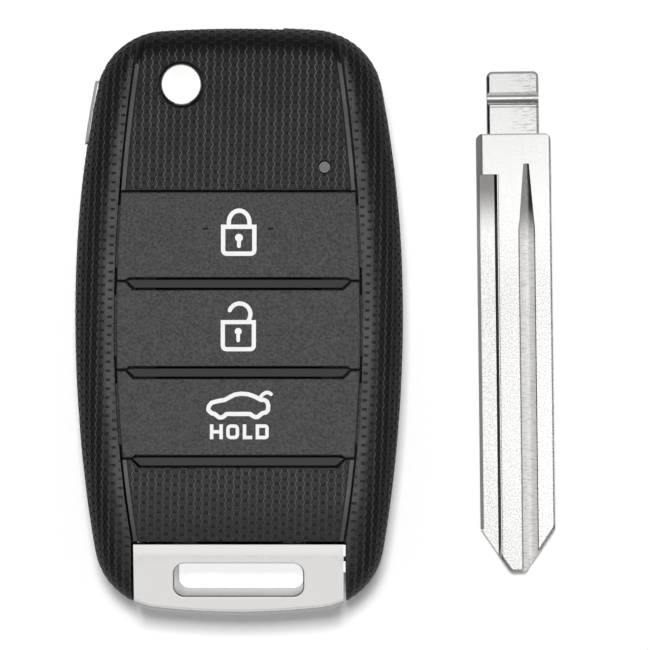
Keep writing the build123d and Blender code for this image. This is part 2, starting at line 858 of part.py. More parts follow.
def blade_outline():
    """Outline of the blade, its shoulder at the origin and its point towards -Y."""
    half = blade_width / 2
    tongue = tongue_width / 2
    flat = point_flat / 2
    tip = -blade_length
    bevel = tip + point_length
    right = [(tongue, tongue_length), (tongue, 0), (half, 0), (half, bevel), (flat, tip)]
    left = [(-x, y) for x, y in reversed(right)]
    outline = polygon(*right, *left)
    tongue_ends = [v for v in outline.vertices() if v.Y > tongue_length - tolerance]
    outline = fillet(tongue_ends, tongue_corner_radius)
    level = [v for v in outline.vertices() if abs(v.Y) < tolerance]
    outline = fillet([v for v in level if abs(v.X) > half - tolerance], shoulder_radius)
    return fillet([v for v in outline.vertices() if v.Y < tip + tolerance], point_radius)


def along_blade(points, y0, y1):
    """A cross-section of the blade, given by x and z, as a solid from y0 to y1."""
    section = Plane.XZ * polygon(*points)
    return Pos(0, y1, 0) * extrude(section, amount=y1 - y0)


def blade_groove(centre, width, surface, floor):
    """A V groove milled along the blade, which rises to a narrow nose near the shoulder."""
    def section(y, share):
        half = width / 2 * share
        over = (surface - floor) / cut_depth * overcut
        return Pos(0, y, 0) * (Plane.XZ * polygon(
            (centre - half, surface + over), (centre - half, surface),
            (centre, surface + (floor - surface) * share),
            (centre + half, surface), (centre + half, surface + over),
        ))

    run = -groove_start - groove_run_in
    straight = extrude(section(run, 1), amount=blade_length + overcut + run)
    return straight + loft([section(run, 1), section(-groove_start, groove_nose_share)], ruled=True)


def make_key_blade():
    """Uncut blade lying flat beside the case, tongue towards the folding end."""
    blade = prism(blade_outline(), 0, blade_thickness)
    half = blade_width / 2
    point_y = -blade_length + point_length - tolerance
    upper = [e for e in blade.edges() if e.bounding_box().min.Z > blade_thickness / 2]
    blade = chamfer([e for e in upper if e.bounding_box().max.Y < point_y + 2 * tolerance], edge_bevel)
    blade -= along_blade(
        [(-half - overcut, blade_thickness - flank_bevel_height),
         (-half, blade_thickness - flank_bevel_height),
         (-half + flank_bevel_width, blade_thickness),
         (-half + flank_bevel_width, far), (-half - overcut, far)],
        point_y, 0,
    )
    blade -= block(-far, far, 0, far, tongue_thickness, far)
    rim = [e for e in blade.edges() if e.bounding_box().min.Z > tongue_thickness - tolerance]
    rim = [e for e in rim if e.bounding_box().min.Y > -tolerance and (e @ 0.5).Y > tolerance]
    blade = chamfer([e for e in rim if (e @ 0.5).X < tongue_width / 2 - tolerance], edge_bevel)
    notch_y = tongue_length - tongue_notch_from_end
    notch_z = tongue_thickness + tongue_notch_radius - tongue_notch_depth
    notch = Rot(0, 90, 0) * Cylinder(tongue_notch_radius, 2 * tongue_width)
    blade -= Pos(0, notch_y, notch_z) * notch
    floor = blade_thickness - cut_depth
    wall_x = -half + ledge_width
    blade -= along_blade(
        [(-far, floor), (wall_x - ledge_wall_width, floor), (wall_x, blade_thickness),
         (wall_x, far), (-far, far)],
        -far, -ledge_start,
    )
    blade -= blade_groove(groove_centre, groove_width, blade_thickness, floor)
    blade -= blade_groove(back_groove_centre, back_groove_width, 0, cut_depth)
    place = Pos(case_side + blade_from_case, case_end - blade_from_end, 0)
    return place * Rot(0, 0, blade_lean) * blade


def main():
    os.makedirs("parts", exist_ok=True)
    form = case_form()
    inner = case_form(wall)
    way = head_way()
    parts = {
        "front_cover": make_front_cover(form, inner, way),
        "back_cover": make_back_cover(form, inner, way),
        "face_panel": make_face_panel(form),
        "key_frame": make_key_frame(form),
        "keypad_mat": make_keypad_mat(),
        "board_tray": make_board_tray(),
        "end_bar": make_end_bar(),
        "flip_head": make_flip_head(),
        "flip_spring": make_flip_spring(),
        "spring_seat": make_spring_seat(),
        "pivot_washer": make_pivot_washer(),
        "button_hub": make_button_hub(),
        "button_cap": make_button_cap(),
        "led_lens": make_led_lens(),
        "cover_screws": make_cover_screws(),
        "key_blade": make_key_blade(),
    }
    for number, name in enumerate(key_names):
        parts[name] = make_key(form, number)
    for name, shape in parts.items():
        export_step(shape, f"parts/{name}.step")


main()
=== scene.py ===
import math

import bmesh
import bpy
import numpy as np
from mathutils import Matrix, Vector
from mathutils.bvhtree import BVHTree


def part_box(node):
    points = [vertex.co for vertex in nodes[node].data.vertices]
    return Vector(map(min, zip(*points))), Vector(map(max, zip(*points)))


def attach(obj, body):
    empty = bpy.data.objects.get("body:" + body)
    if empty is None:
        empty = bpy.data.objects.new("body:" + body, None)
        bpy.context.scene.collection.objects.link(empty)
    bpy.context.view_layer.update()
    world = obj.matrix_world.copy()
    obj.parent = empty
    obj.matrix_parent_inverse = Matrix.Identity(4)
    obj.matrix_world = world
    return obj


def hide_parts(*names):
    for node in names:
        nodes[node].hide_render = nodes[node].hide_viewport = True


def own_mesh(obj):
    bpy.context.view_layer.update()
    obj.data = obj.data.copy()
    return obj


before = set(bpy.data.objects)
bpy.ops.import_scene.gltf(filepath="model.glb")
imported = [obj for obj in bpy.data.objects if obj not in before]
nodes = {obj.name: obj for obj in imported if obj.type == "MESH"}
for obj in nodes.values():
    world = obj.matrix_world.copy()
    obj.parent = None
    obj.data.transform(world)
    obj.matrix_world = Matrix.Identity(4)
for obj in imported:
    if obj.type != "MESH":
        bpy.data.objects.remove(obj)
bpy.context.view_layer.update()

mm = 0.001

# The studio: a white table with the camera straight above it. Softboxes overhead, at the
# sides and towards the key ring show in the bright metal and leave the folding end dark.
# A lamp over that end throws the case's shadow on the table towards the key ring.

def linked(name, data):
    """A new object in the scene."""
    piece = bpy.data.objects.new(name, data)
    bpy.context.scene.collection.objects.link(piece)
    return piece


camera_data = bpy.data.cameras.new("camera")
camera_data.sensor_width = 36.0
camera_data.lens = 177.5
camera = linked("camera", camera_data)
camera.location = (10.95 * mm, -0.58 * mm, 420 * mm)
bpy.context.scene.camera = camera
bpy.context.scene.view_settings.view_transform = "Standard"


def feed(tree, node, inputs):
    """Links or sets a node's inputs, given by name or number."""
    for key, value in dict(inputs).items():
        if isinstance(value, bpy.types.NodeSocket):
            tree.links.new(value, node.inputs[key])
        else:
            node.inputs[key].default_value = value


def add(tree, kind, inputs=(), **settings):
    """Puts a node in a tree, with its settings and inputs."""
    node = tree.nodes.new(kind)
    for name, value in settings.items():
        setattr(node, name, value)
    feed(tree, node, inputs)
    return node


def maths(tree, operation, *terms):
    """A Math node's result."""
    return add(tree, "ShaderNodeMath", enumerate(terms), operation=operation).outputs[0]


def product(tree, result, *factors):
    """All the factors multiplied together."""
    for factor in factors:
        result = maths(tree, "MULTIPLY", result, factor)
    return result


def fade(tree, value, start, stop):
    """A smooth step from 0 at start to 1 at stop, which may be the lower of the two."""
    ends = {0: value, 1: start, 2: stop}
    return add(tree, "ShaderNodeMapRange", ends, interpolation_type="SMOOTHSTEP").outputs[0]


def window(tree, value, low, high, soft):
    """1 between two values and 0 outside them, with soft edges."""
    rise = fade(tree, value, low - soft, low + soft)
    return product(tree, rise, fade(tree, value, high + soft, high - soft))


def ranged(tree, value, low, high, start=0.0, stop=1.0):
    """A value between start and stop carried to between low and high, and kept there."""
    ends = {0: value, 1: start, 2: stop, 3: low, 4: high}
    return add(tree, "ShaderNodeMapRange", ends).outputs[0]


def object_place(tree):
    """The place on the object."""
    return add(tree, "ShaderNodeTexCoord").outputs["Object"]


def parts_of(tree, vector):
    """A vector's parts along x, y and z."""
    return add(tree, "ShaderNodeSeparateXYZ", {0: vector}).outputs


def noise(tree, place, scale, detail):
    """Cloudy noise, mostly between 0.3 and 0.7."""
    inputs = {"Vector": place, "Scale": scale, "Detail": detail}
    return add(tree, "ShaderNodeTexNoise", inputs).outputs[0]


def new_material(name):
    """A material with its tree and its shader."""
    material = bpy.data.materials.new(name)
    material.use_nodes = True
    return material, material.node_tree, material.node_tree.nodes["Principled BSDF"]


def studio_world():
    """White to the camera and a dim even room to everything else."""
    dim_room, white_room = 0.2, 1.0
    world = bpy.data.worlds.new("studio")
    world.use_nodes = True
    tree = world.node_tree
    tree.nodes.clear()
    seen = add(tree, "ShaderNodeLightPath").outputs["Is Camera Ray"]
    strength = ranged(tree, seen, dim_room, white_room)
    sky = {"Color": (1.0, 0.995, 0.99, 1.0), "Strength": strength}
    sky = add(tree, "ShaderNodeBackground", sky)
    add(tree, "ShaderNodeOutputWorld", {"Surface": sky.outputs[0]})
    bpy.context.scene.world = world


def lamp(name, place, width, depth, level, mirrored):
    """A soft lamp aimed at the origin, that either lights or shows in reflections."""
    data = bpy.data.lights.new(name, "AREA")
    data.shape = "RECTANGLE"
    data.size = width
    data.size_y = depth
    data.energy = level * math.pi * width * depth
    light = linked(name, data)
    light.location = place
    light.rotation_euler = (-Vector(place)).to_track_quat("-Z", "Y").to_euler()
    light.visible_camera = False
    light.visible_glossy = mirrored
    light.visible_diffuse = not mirrored


def softbox(name, across, along, half_across, half_along, level):
    """A lamp that shows in reflections; its place and half sizes are angles in degrees."""
    far = 0.6
    east, north, half_east, half_north = (
        math.tan(math.radians(angle)) for angle in (across, along, half_across, half_along)
    )
    way = Vector((east, north, 1.0)).normalized()
    lamp(name, way * far, 2 * far * half_east, 2 * far * half_north, level, True)


def white_card():
    """White card, a little lifted to the camera, with painted light where the key ring's slot shows
    it, seen directly and in reflections.
    """
    palest, darkest, grain_scale = 0.87, 0.84, 900.0
    lift, slot_painted_lift = 0.13, 0.75
    mirror_lift, slot_painted_mirror_share, mirror_dimming = 0.02, 0.6, -0.5
    slot_half, slot_low, slot_high, slot_soft = 8.4 * mm, -35.6 * mm, -30.2 * mm, 0.4 * mm
    material, tree, shader = new_material("white_card")
    place = object_place(tree)
    parts = parts_of(tree, place)
    tone = ranged(tree, noise(tree, place, grain_scale, detail=4.0), darkest, palest)
    path = add(tree, "ShaderNodeLightPath").outputs
    dimmed = maths(tree, "MULTIPLY_ADD", path["Is Glossy Ray"], mirror_dimming, 1.0)
    # painted light on the card inside the key ring's slot, where the end bar's shade falls
    painted_slot_light = product(
        tree,
        window(tree, parts["X"], -slot_half, slot_half, slot_soft),
        window(tree, parts["Y"], slot_low, slot_high, slot_soft),
        slot_painted_lift - lift,
    )
    to_camera = maths(tree, "MAXIMUM", path["Is Camera Ray"], path["Is Transmission Ray"])
    to_camera = product(tree, to_camera, maths(tree, "ADD", painted_slot_light, lift))
    to_mirror = maths(tree, "MULTIPLY_ADD", painted_slot_light, slot_painted_mirror_share, mirror_lift)
    to_mirror = product(tree, path["Is Glossy Ray"], to_mirror)
    feed(tree, shader, {
        "Base Color": product(tree, tone, dimmed),
        "Roughness": 0.75,
        "Specular IOR Level": 0.2,
        "Emission Color": (1.0, 1.0, 1.0, 1.0),
        "Emission Strength": maths(tree, "ADD", to_camera, to_mirror),
    })
    return material


def new_mesh(name, points, faces):
    """A mesh of the given points and faces."""
    mesh = bpy.data.meshes.new(name)
    mesh.from_pydata(points, [], faces)
    return mesh


def lay_table(size, below):
    """The table top, just under the case's back."""
    corners = [(x * size, y * size, -below) for x, y in ((-1, -1), (1, -1), (1, 1), (-1, 1))]
    mesh = new_mesh("table", corners, [(0, 1, 2, 3)])
    mesh.materials.append(white_card())
    linked("table", mesh)


studio_world()
lamp("end_lamp", place=(0.0, 0.12, 0.62), width=0.1, depth=0.12, level=96.0, mirrored=False)
for name, across, along, half_across, half_along, level in (
    ("overhead", 0.0, -1.5, 14.5, 8.5, 1.3),
    ("ring_side_high", 0.0, -20.0, 28.0, 9.5, 0.86),
    ("ring_side_low", 0.0, -45.0, 26.0, 15.0, 0.72),
    ("ring_side_floor", 0.0, -74.0, 26.0, 12.0, 0.6),
    ("head_side", 0.0, 12.0, 23.0, 5.0, 0.75),
    ("left_wing", -20.0, -5.0, 5.0, 11.0, 2.1),
    ("left_low", -71.0, 0.0, 9.0, 40.0, 0.15),
    ("right_wing", 20.0, -5.0, 5.0, 11.0, 2.1),
    ("right_low", 71.0, 0.0, 9.0, 40.0, 0.15),
):
    softbox(name, across, along, half_across, half_along, level)
lay_table(size=3.0, below=0.03 * mm)


# The back cover: a shallow tub of black glass-filled plastic, screwed to the front one.
# Its flank and rounded edge carry the same fine honeycomb as the front. The cells are cut
# in the mould: raised at their slanted sides, and divided by short deep cuts at their flat ones.
split_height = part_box("front_cover")[0].z
case_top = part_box("front_cover")[1].z
case_side = -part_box("back_cover")[0].x
case_end = -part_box("end_bar")[0].y
widest_y = 1.0 * mm
side_radii = {"upper": 154.0 * mm, "lower": 185.0 * mm}
end_radii = {"upper": 150.0 * mm, "lower": 90.0 * mm}
corner_radii = {"upper": 9.1 * mm, "lower": 9.0 * mm}
back_edge_radius = 3.4 * mm
row_pitch, column_pitch = 1.135 * mm, 0.985 * mm
skin_overlap, apex_depth = 1.5 * mm, 5.0 * mm
parting_depth, parting_half, parting_outside = 0.25 * mm, 0.12 * mm, 1.0 * mm


def unit(way):
    """A direction with a length of 1."""
    return way / np.linalg.norm(way)


def outline_quarter(half, inset):
    """A quarter of the case's outline, from its widest point to the middle of its end."""
    reach = case_end - (widest_y if half == "upper" else -widest_y) - inset
    side, end, corner = (radii[half] - inset for radii in (side_radii, end_radii, corner_radii))
    side_centre = np.array([case_side - inset - side, 0.0])
    end_centre = np.array([0.0, reach - end])
    span = end_centre - side_centre
    distance = np.linalg.norm(span)
    along = (distance**2 + (side - corner)**2 - (end - corner)**2) / (2 * distance)
    across = math.sqrt((side - corner)**2 - along**2)
    toward = unit(span)
    normal = np.array([-toward[1], toward[0]])
    centre = side_centre + toward * along + normal * across
    turn_in = math.atan2(*(centre - side_centre)[::-1])
    turn_out = math.atan2(*(centre - end_centre)[::-1])
    points = []
    for middle, radius, start, stop, steps in (
        (side_centre, side, 0.0, turn_in, 16),
        (centre, corner, turn_in, turn_out, 24),
        (end_centre, end, turn_out, math.pi / 2, 12),
    ):
        for turn in np.linspace(start, stop, steps, endpoint=False):
            points.append(middle + radius * np.array([math.cos(turn), math.sin(turn)]))
    return points + [np.array([0.0, reach])]


def outline_ring(inset):
    """The case's whole outline seen from the front, shrunk all round by inset."""
    upper = [(x, widest_y + y) for x, y in outline_quarter("upper", inset)]
    lower = [(x, widest_y - y) for x, y in outline_quarter("lower", inset)]
    right_down, left_up = lower[::-1], [(-x, y) for x, y in lower]
    left_down = [(-x, y) for x, y in upper[::-1]]
    return upper[:-1] + left_down[:-1] + left_up[:-1] + right_down[:-1]


def outline_face(name, inset):
    """The case's outline as a flat face, for the honeycomb to be wrapped round."""
    points = [(x, y, 0.0) for x, y in outline_ring(inset)]
    return bpy.data.objects.new(name, new_mesh(name, points, [range(len(points))]))


def prism_between(name, outer, inner, low, high):
    """A closed band between two loops of as many points, from one height to another."""
    count = len(outer)
    points = [(x, y, z) for loop in (outer, inner) for z in (low, high) for x, y in loop]
    faces = []
    for a in range(count):
        b = (a + 1) % count
        faces.append((a, b, b + count, a + count))
        faces.append((b + 2 * count, a + 2 * count, a + 3 * count, b + 3 * count))
        faces.append((a + count, b + count, b + 3 * count, a + 3 * count))
        faces.append((b, a, a + 2 * count, b + 2 * count))
    return linked(name, new_mesh(name, points, faces))


def honeycomb_cell(name, crest, floor, cut):
    """One cell of the honeycomb; its relief is 1 on the crests and -1 in the cuts."""
    crest_foot, cut_foot, cut_span = 0.83, 0.7, 0.92
    radius = row_pitch / math.sqrt(3)
    squeeze = column_pitch / (1.5 * radius)
    points, relief, faces = [], [], []
    for scale, slant_height, flat_height, slant_relief, flat_relief in (
        (1.0, crest, cut, 1.0, -1.0),
        (crest_foot, floor, cut, 0.0, -1.0),
        (cut_foot, floor, floor, 0.0, 0.0),
    ):
        for corner in range(6):
            x = radius * scale * squeeze * math.cos(math.radians(60 * corner))
            y = radius * scale * math.sin(math.radians(60 * corner))
            points.append((x, y, slant_height))
            relief.append(slant_relief)
            if corner in (1, 4):
                points += [(x * cut_span, y, flat_height), (-x * cut_span, y, flat_height)]
                relief += [flat_relief, flat_relief]
    count = len(points) // 3
    for ring in (0, count):
        for step in range(count):
            a, b = ring + step, ring + (step + 1) % count
            faces.append((a, b, b + count, a + count))
    faces.append(range(2 * count, 3 * count))
    mesh = new_mesh(name, points, faces)
    mesh.attributes.new("relief", "FLOAT", "POINT").data.foreach_set("value", relief)
    return bpy.data.objects.new(name, mesh)


def new_group(name, kind, inputs, outputs):
    """A node group with named sockets of given kinds, and what its input node gives."""
    tree = bpy.data.node_groups.new(name, kind)
    for way, sockets in (("INPUT", inputs), ("OUTPUT", outputs)):
        for socket, shape in sockets.items():
            tree.interface.new_socket(socket, in_out=way, socket_type="NodeSocket" + shape)
    return tree, add(tree, "NodeGroupInput").outputs


def vector_maths(tree, operation, *terms, share=0):
    """A Vector Math node's result."""
    node = add(tree, "ShaderNodeVectorMath", enumerate(terms), operation=operation)
    return node.outputs[share]


def vector_of(tree, x=0.0, y=0.0, z=0.0):
    """A vector from its parts."""
    return add(tree, "ShaderNodeCombineXYZ", enumerate((x, y, z))).outputs[0]


no_crown = {"Upper Start": 1.0, "Upper Radius": 1.0, "Lower Start": -1.0, "Lower Radius": 1.0}
wrap_sockets = dict.fromkeys(["Edge Radius", "Top", *no_crown], "Float")
wrap_sockets["Path"] = "Object"


def wrap_group():
    """Geometry Nodes group that lays a flat point on the crowned and rounded case."""
    sockets = {"Point": "Vector", **wrap_sockets}
    tree, given = new_group("case_wrap", "GeometryNodeTree", sockets, {"Position": "Vector"})
    radius, top = given["Edge Radius"], given["Top"]

    def vectors(operation, *terms, share=0):
        return vector_maths(tree, operation, *terms, share=share)

    def scaled(vector, factor):
        inputs = {0: vector, "Scale": factor}
        return add(tree, "ShaderNodeVectorMath", inputs, operation="SCALE").outputs[0]

    def past_start(y, half, sign):
        past = maths(tree, "SUBTRACT", y, given[half + " Start"])
        return maths(tree, "MAXIMUM", product(tree, past, sign), 0.0)

    flat = parts_of(tree, given["Point"])
    along = flat["Y"]
    for half, sign in (("Upper", 1.0), ("Lower", -1.0)):
        past = past_start(flat["Y"], half, sign)
        turn = maths(tree, "SINE", maths(tree, "DIVIDE", past, given[half + " Radius"]))
        run = product(tree, turn, maths(tree, "SUBTRACT", given[half + " Radius"], radius))
        change = product(tree, maths(tree, "SUBTRACT", run, past), sign)
        along = maths(tree, "ADD", along, change)
    point = vector_of(tree, x=flat["X"], y=along)
    shape = add(tree, "GeometryNodeObjectInfo", {"Object": given["Path"]}).outputs["Geometry"]
    nearest = {0: shape, "Sample Position": point}
    nearest = add(tree, "GeometryNodeProximity", nearest, target_element="FACES").outputs
    foot, reach = nearest["Position"], nearest["Distance"]
    foot_y = parts_of(tree, foot)["Y"]
    height = maths(tree, "SUBTRACT", top, radius)
    lean = 0.0
    for half, sign in (("Upper", 1.0), ("Lower", -1.0)):
        offset = maths(tree, "SUBTRACT", given[half + " Radius"], radius)
        sine = maths(tree, "DIVIDE", past_start(foot_y, half, sign), offset)
        cosine = maths(tree, "SQRT", maths(tree, "SUBTRACT", 1.0, product(tree, sine, sine)))
        sink = product(tree, maths(tree, "SUBTRACT", 1.0, cosine), offset)
        height = maths(tree, "SUBTRACT", height, sink)
        lean = maths(tree, "MULTIPLY_ADD", sine, sign, lean)
    rise = maths(tree, "SQRT", maths(tree, "SUBTRACT", 1.0, product(tree, lean, lean)))
    up = vector_of(tree, y=lean, z=rise)
    out = vectors("NORMALIZE", vectors("SUBTRACT", point, foot))
    share = vectors("DOT_PRODUCT", up, out, share="Value")
    whole = maths(tree, "ARCCOSINE", share)
    turn = maths(tree, "MINIMUM", maths(tree, "DIVIDE", reach, radius), whole)
    side = vectors("NORMALIZE", vectors("SUBTRACT", out, scaled(up, share)))
    upward = scaled(up, maths(tree, "COSINE", turn))
    facing = vectors("ADD", upward, scaled(side, maths(tree, "SINE", turn)))
    drop = maths(tree, "SUBTRACT", reach, product(tree, radius, whole))
    level = maths(tree, "SUBTRACT", height, maths(tree, "MAXIMUM", drop, 0.0))
    base = vectors("ADD", foot, vector_of(tree, z=level))
    stand = scaled(facing, maths(tree, "ADD", radius, flat["Z"]))
    add(tree, "NodeGroupOutput", {0: vectors("ADD", base, stand)})
    return tree


def honeycomb_tree():
    """Geometry Nodes tree of a closed block whose skin is the honeycomb."""
    join_distance, close_distance = 0.03 * mm, 0.001 * mm
    wrap = wrap_group()
    sockets = {"Geometry": "Geometry", "Cell": "Object", "Columns": "Int", "Rows": "Int"}
    for name in ("Column Pitch", "Row Pitch", "Lean", "Bottom", "Apex"):
        sockets[name] = "Float"
    sockets.update(Material="Material", **wrap_sockets)
    outputs = {"Geometry": "Geometry"}
    tree, given = new_group("honeycomb_block", "GeometryNodeTree", sockets, outputs)

    def wrapped(point):
        inputs = {"Point": point, **{name: given[name] for name in wrap_sockets}}
        return add(tree, "GeometryNodeGroup", inputs, node_tree=wrap).outputs["Position"]

    def length(count, pitch):
        return product(tree, maths(tree, "SUBTRACT", given[count], 1.0), given[pitch])

    def made(kind, inputs=(), **settings):
        return add(tree, "GeometryNode" + kind, inputs, **settings).outputs[0]

    grid = made("MeshGrid", {
        "Size X": length("Columns", "Column Pitch"),
        "Size Y": length("Rows", "Row Pitch"),
        "Vertices X": given["Columns"],
        "Vertices Y": given["Rows"],
    })
    position = made("InputPosition")
    column = maths(tree, "DIVIDE", parts_of(tree, position)["X"], given["Column Pitch"])
    odd = maths(tree, "PINGPONG", maths(tree, "ROUND", column), 1.0)
    offset = vector_of(tree, y=product(tree, odd, given["Row Pitch"], 0.5))
    moved = made("SetPosition", {"Geometry": grid, "Offset": offset})
    turn = vector_of(tree, z=given["Lean"])
    turned = made("Transform", {"Geometry": moved, "Rotation": turn})
    low = {0: parts_of(tree, wrapped(position))["Z"], 1: given["Bottom"]}
    low = add(tree, "FunctionNodeCompare", low, operation="LESS_THAN").outputs[0]
    kept = made("DeleteGeometry", {0: turned, 1: low}, domain="POINT")
    cell = add(tree, "GeometryNodeObjectInfo", {"Object": given["Cell"]}).outputs["Geometry"]
    placed = made("InstanceOnPoints", {"Points": kept, "Instance": cell, "Rotation": turn})
    cells = made("RealizeInstances", {0: placed})
    sheet = made("MergeByDistance", {"Geometry": cells, "Distance": join_distance})
    skin = made("SetPosition", {"Geometry": sheet, "Position": wrapped(position)})
    rim = {2: made("InputMeshEdgeNeighbors"), 3: 1}
    rim = add(tree, "FunctionNodeCompare", rim, data_type="INT", operation="EQUAL").outputs[0]
    drawn = {"Mesh": skin, "Selection": rim, "Offset Scale": 0.0}
    drawn = add(tree, "GeometryNodeExtrudeMesh", drawn, mode="EDGES").outputs
    apex = vector_of(tree, z=given["Apex"])
    closed = {"Geometry": drawn["Mesh"], "Selection": drawn["Top"], "Position": apex}
    closed = made("SetPosition", closed)
    closed = made("MergeByDistance", {"Geometry": closed, "Distance": close_distance})
    whole = made("RealizeInstances", {0: closed})
    coated = made("SetMaterial", {"Geometry": whole, "Material": given["Material"]})
    add(tree, "NodeGroupOutput", {0: coated})
    return tree


def grown(name, tree, values):
    """The mesh object that a Geometry Nodes tree makes with the given input values."""
    source = linked(name, bpy.data.meshes.new(name))
    modifier = source.modifiers.new(name, "NODES")
    modifier.node_group = tree
    for item in tree.interface.items_tree:
        if item.in_out == "INPUT" and item.name in values:
            modifier[item.identifier] = values[item.name]
    graph = bpy.context.evaluated_depsgraph_get()
    mesh = bpy.data.meshes.new_from_object(source.evaluated_get(graph))
    source.modifiers.remove(modifier)
    source.data = mesh
    return source


def grain_group():
    """Fine grain of an eroded mould: its height, and a slight unevenness of tone."""
    sizes = {"Grain Size": "Float", "Patch Size": "Float"}
    outputs = {"Height": "Float", "Tone": "Float"}
    tree, given = new_group("moulded_grain", "ShaderNodeTree", sizes, outputs)
    place = object_place(tree)
    grain_scale, patch_scale = (maths(tree, "DIVIDE", 1.0, given[size]) for size in sizes)
    fine = noise(tree, place, grain_scale, detail=3.0)
    pits = add(tree, "ShaderNodeTexVoronoi", {"Vector": place, "Scale": grain_scale})
    patch = noise(tree, place, patch_scale, detail=2.0)
    height = maths(tree, "MULTIPLY_ADD", pits.outputs["Distance"], 0.5, fine)
    tone = ranged(tree, maths(tree, "ADD", fine, patch), 0.0, 1.0, start=0.75, stop=1.25)
    add(tree, "NodeGroupOutput", {"Height": height, "Tone": tone})
    return tree


moulded_grain = grain_group()


def grained(tree, grain, patch):
    """The moulded grain's height and tone in a material."""
    sizes = {"Grain Size": grain, "Patch Size": patch}
    surface = add(tree, "ShaderNodeGroup", sizes, node_tree=moulded_grain)
    return surface.outputs["Height"], surface.outputs["Tone"]


def bumped(tree, height, depth):
    """The normal that a fine relief gives."""
    relief = {"Height": height, "Strength": 1.0, "Distance": depth}
    return add(tree, "ShaderNodeBump", relief).outputs[0]


def blend(tree, mask, below, above):
    """A colour that turns from one to another with a mask."""
    return add(tree, "ShaderNodeMix", {0: mask, 6: below, 7: above}, data_type="RGBA").outputs[2]


def two_tone(tree, mask, colour, spread):
    """A colour that varies a little each way with a mask."""
    dark, light = ([c * (1 + way * spread) for c in colour] + [1.0] for way in (-1, 1))
    return blend(tree, mask, dark, light)


def moulded_plastic(name, colour, spread, roughness, grain, depth, sheen, patch=3.0 * mm):
    """Moulded plastic or rubber: an even colour with fine grain and a soft shine."""
    uneven = 0.05
    material, tree, shader = new_material(name)
    height, tone = grained(tree, grain, patch)
    feed(tree, shader, {
        "Base Color": two_tone(tree, tone, colour, spread),
        "Roughness": ranged(tree, tone, roughness - uneven, roughness + uneven),
        "Normal": bumped(tree, height, depth),
        "Specular IOR Level": sheen,
    })
    return material


def painted_light_group():
    """Tone and roughness of the honeycomb: painted highlights on its crests, painted shade in its
    cuts, and tones painted lighter on the flat of the front than on the bends, less so towards the key
    ring.
    """
    side_bend, side_flat = case_side - 3.35 * mm, case_side - 4.3 * mm
    end_bend, end_flat = case_end - 2.2 * mm, case_end - 4.0 * mm
    inside, front = case_top - 1.7 * mm, case_top - 1.2 * mm
    ring_side, middle, ring_share = -27.5 * mm, -20.5 * mm, 0.4
    speckle, least_glint, cut_painted_shade, cut_roughness, crest_roughness = 0.3, 0.6, 0.002, 0.45, 0.3
    inputs = ("Bent Ground", "Bent Crest", "Flat Ground", "Flat Crest", "Unevenness")
    inputs, outputs = dict.fromkeys(inputs, "Float"), {"Tone": "Float", "Roughness": "Float"}
    tree, given = new_group("painted_light_honeycomb", "ShaderNodeTree", inputs, outputs)
    uneven = given["Unevenness"]
    x, y, z = parts_of(tree, object_place(tree))
    from_widest = maths(tree, "SUBTRACT", y, widest_y)
    side_bow = product(tree, from_widest, from_widest, 0.5 / side_radii["upper"])
    end_bow = product(tree, x, x, 0.5 / end_radii["upper"])
    across = maths(tree, "ADD", maths(tree, "ABSOLUTE", x), side_bow)
    along = maths(tree, "ADD", y, end_bow)
    # painted shade: the flat's painted light fades towards the key ring end
    from_ring = fade(tree, y, ring_side, middle)
    flat = product(
        tree,
        fade(tree, across, side_bend, side_flat),
        fade(tree, along, end_bend, end_flat),
        fade(tree, z, inside, front),
        maths(tree, "MULTIPLY_ADD", from_ring, 1 - ring_share, ring_share),
    )
    ground, crest = (
        ranged(tree, flat, given["Bent " + part], given["Flat " + part])
        for part in ("Ground", "Crest")
    )
    ground = product(tree, ground, ranged(tree, uneven, 1 - speckle, 1 + speckle))
    relief = add(tree, "ShaderNodeAttribute", attribute_name="relief").outputs["Fac"]
    # painted highlight on the crests, painted shade in the cuts
    glint_share = ranged(tree, uneven, least_glint, 1.0)
    painted_light = product(tree, maths(tree, "MAXIMUM", relief, 0.0), glint_share)
    tone = ranged(tree, painted_light, ground, crest)
    tone = ranged(tree, relief, tone, cut_painted_shade, stop=-1.0)
    roughness = ranged(tree, relief, cut_roughness, crest_roughness, start=-1.0)
    add(tree, "NodeGroupOutput", {"Tone": tone, "Roughness": roughness})
    return tree


painted_light_honeycomb = painted_light_group()


def honeycomb_plastic(name, tones):
    """The case's black plastic; tones are those of its ground and crests, on bends and flats, which
    paint shade on the bends and light on the flats and crests.
    """
    material, tree, shader = new_material(name)
    height, uneven = grained(tree, grain=0.06 * mm, patch=3.0 * mm)
    inputs = {**tones, "Unevenness": uneven}
    painted_light = add(tree, "ShaderNodeGroup", inputs, node_tree=painted_light_honeycomb).outputs
    feed(tree, shader, {
        "Base Color": painted_light["Tone"],
        "Roughness": painted_light["Roughness"],
        "Normal": bumped(tree, height, depth=0.004 * mm),
        "Specular IOR Level": 0.4,
    })
    return material


def merged_copy(node, name):
    """A CAD node's mesh as a new object, its loose triangles joined."""
    join_distance, sliver = 0.0005 * mm, 0.0002 * mm
    shape = bmesh.new()
    shape.from_mesh(nodes[node].data)
    bmesh.ops.remove_doubles(shape, verts=shape.verts, dist=join_distance)
    bmesh.ops.dissolve_degenerate(shape, edges=shape.edges, dist=sliver)
    mesh = bpy.data.meshes.new(name)
    shape.to_mesh(mesh)
    shape.free()
    if mesh.attributes.get("custom_normal"):
        mesh.attributes.remove(mesh.attributes["custom_normal"])
    return linked(name, mesh)


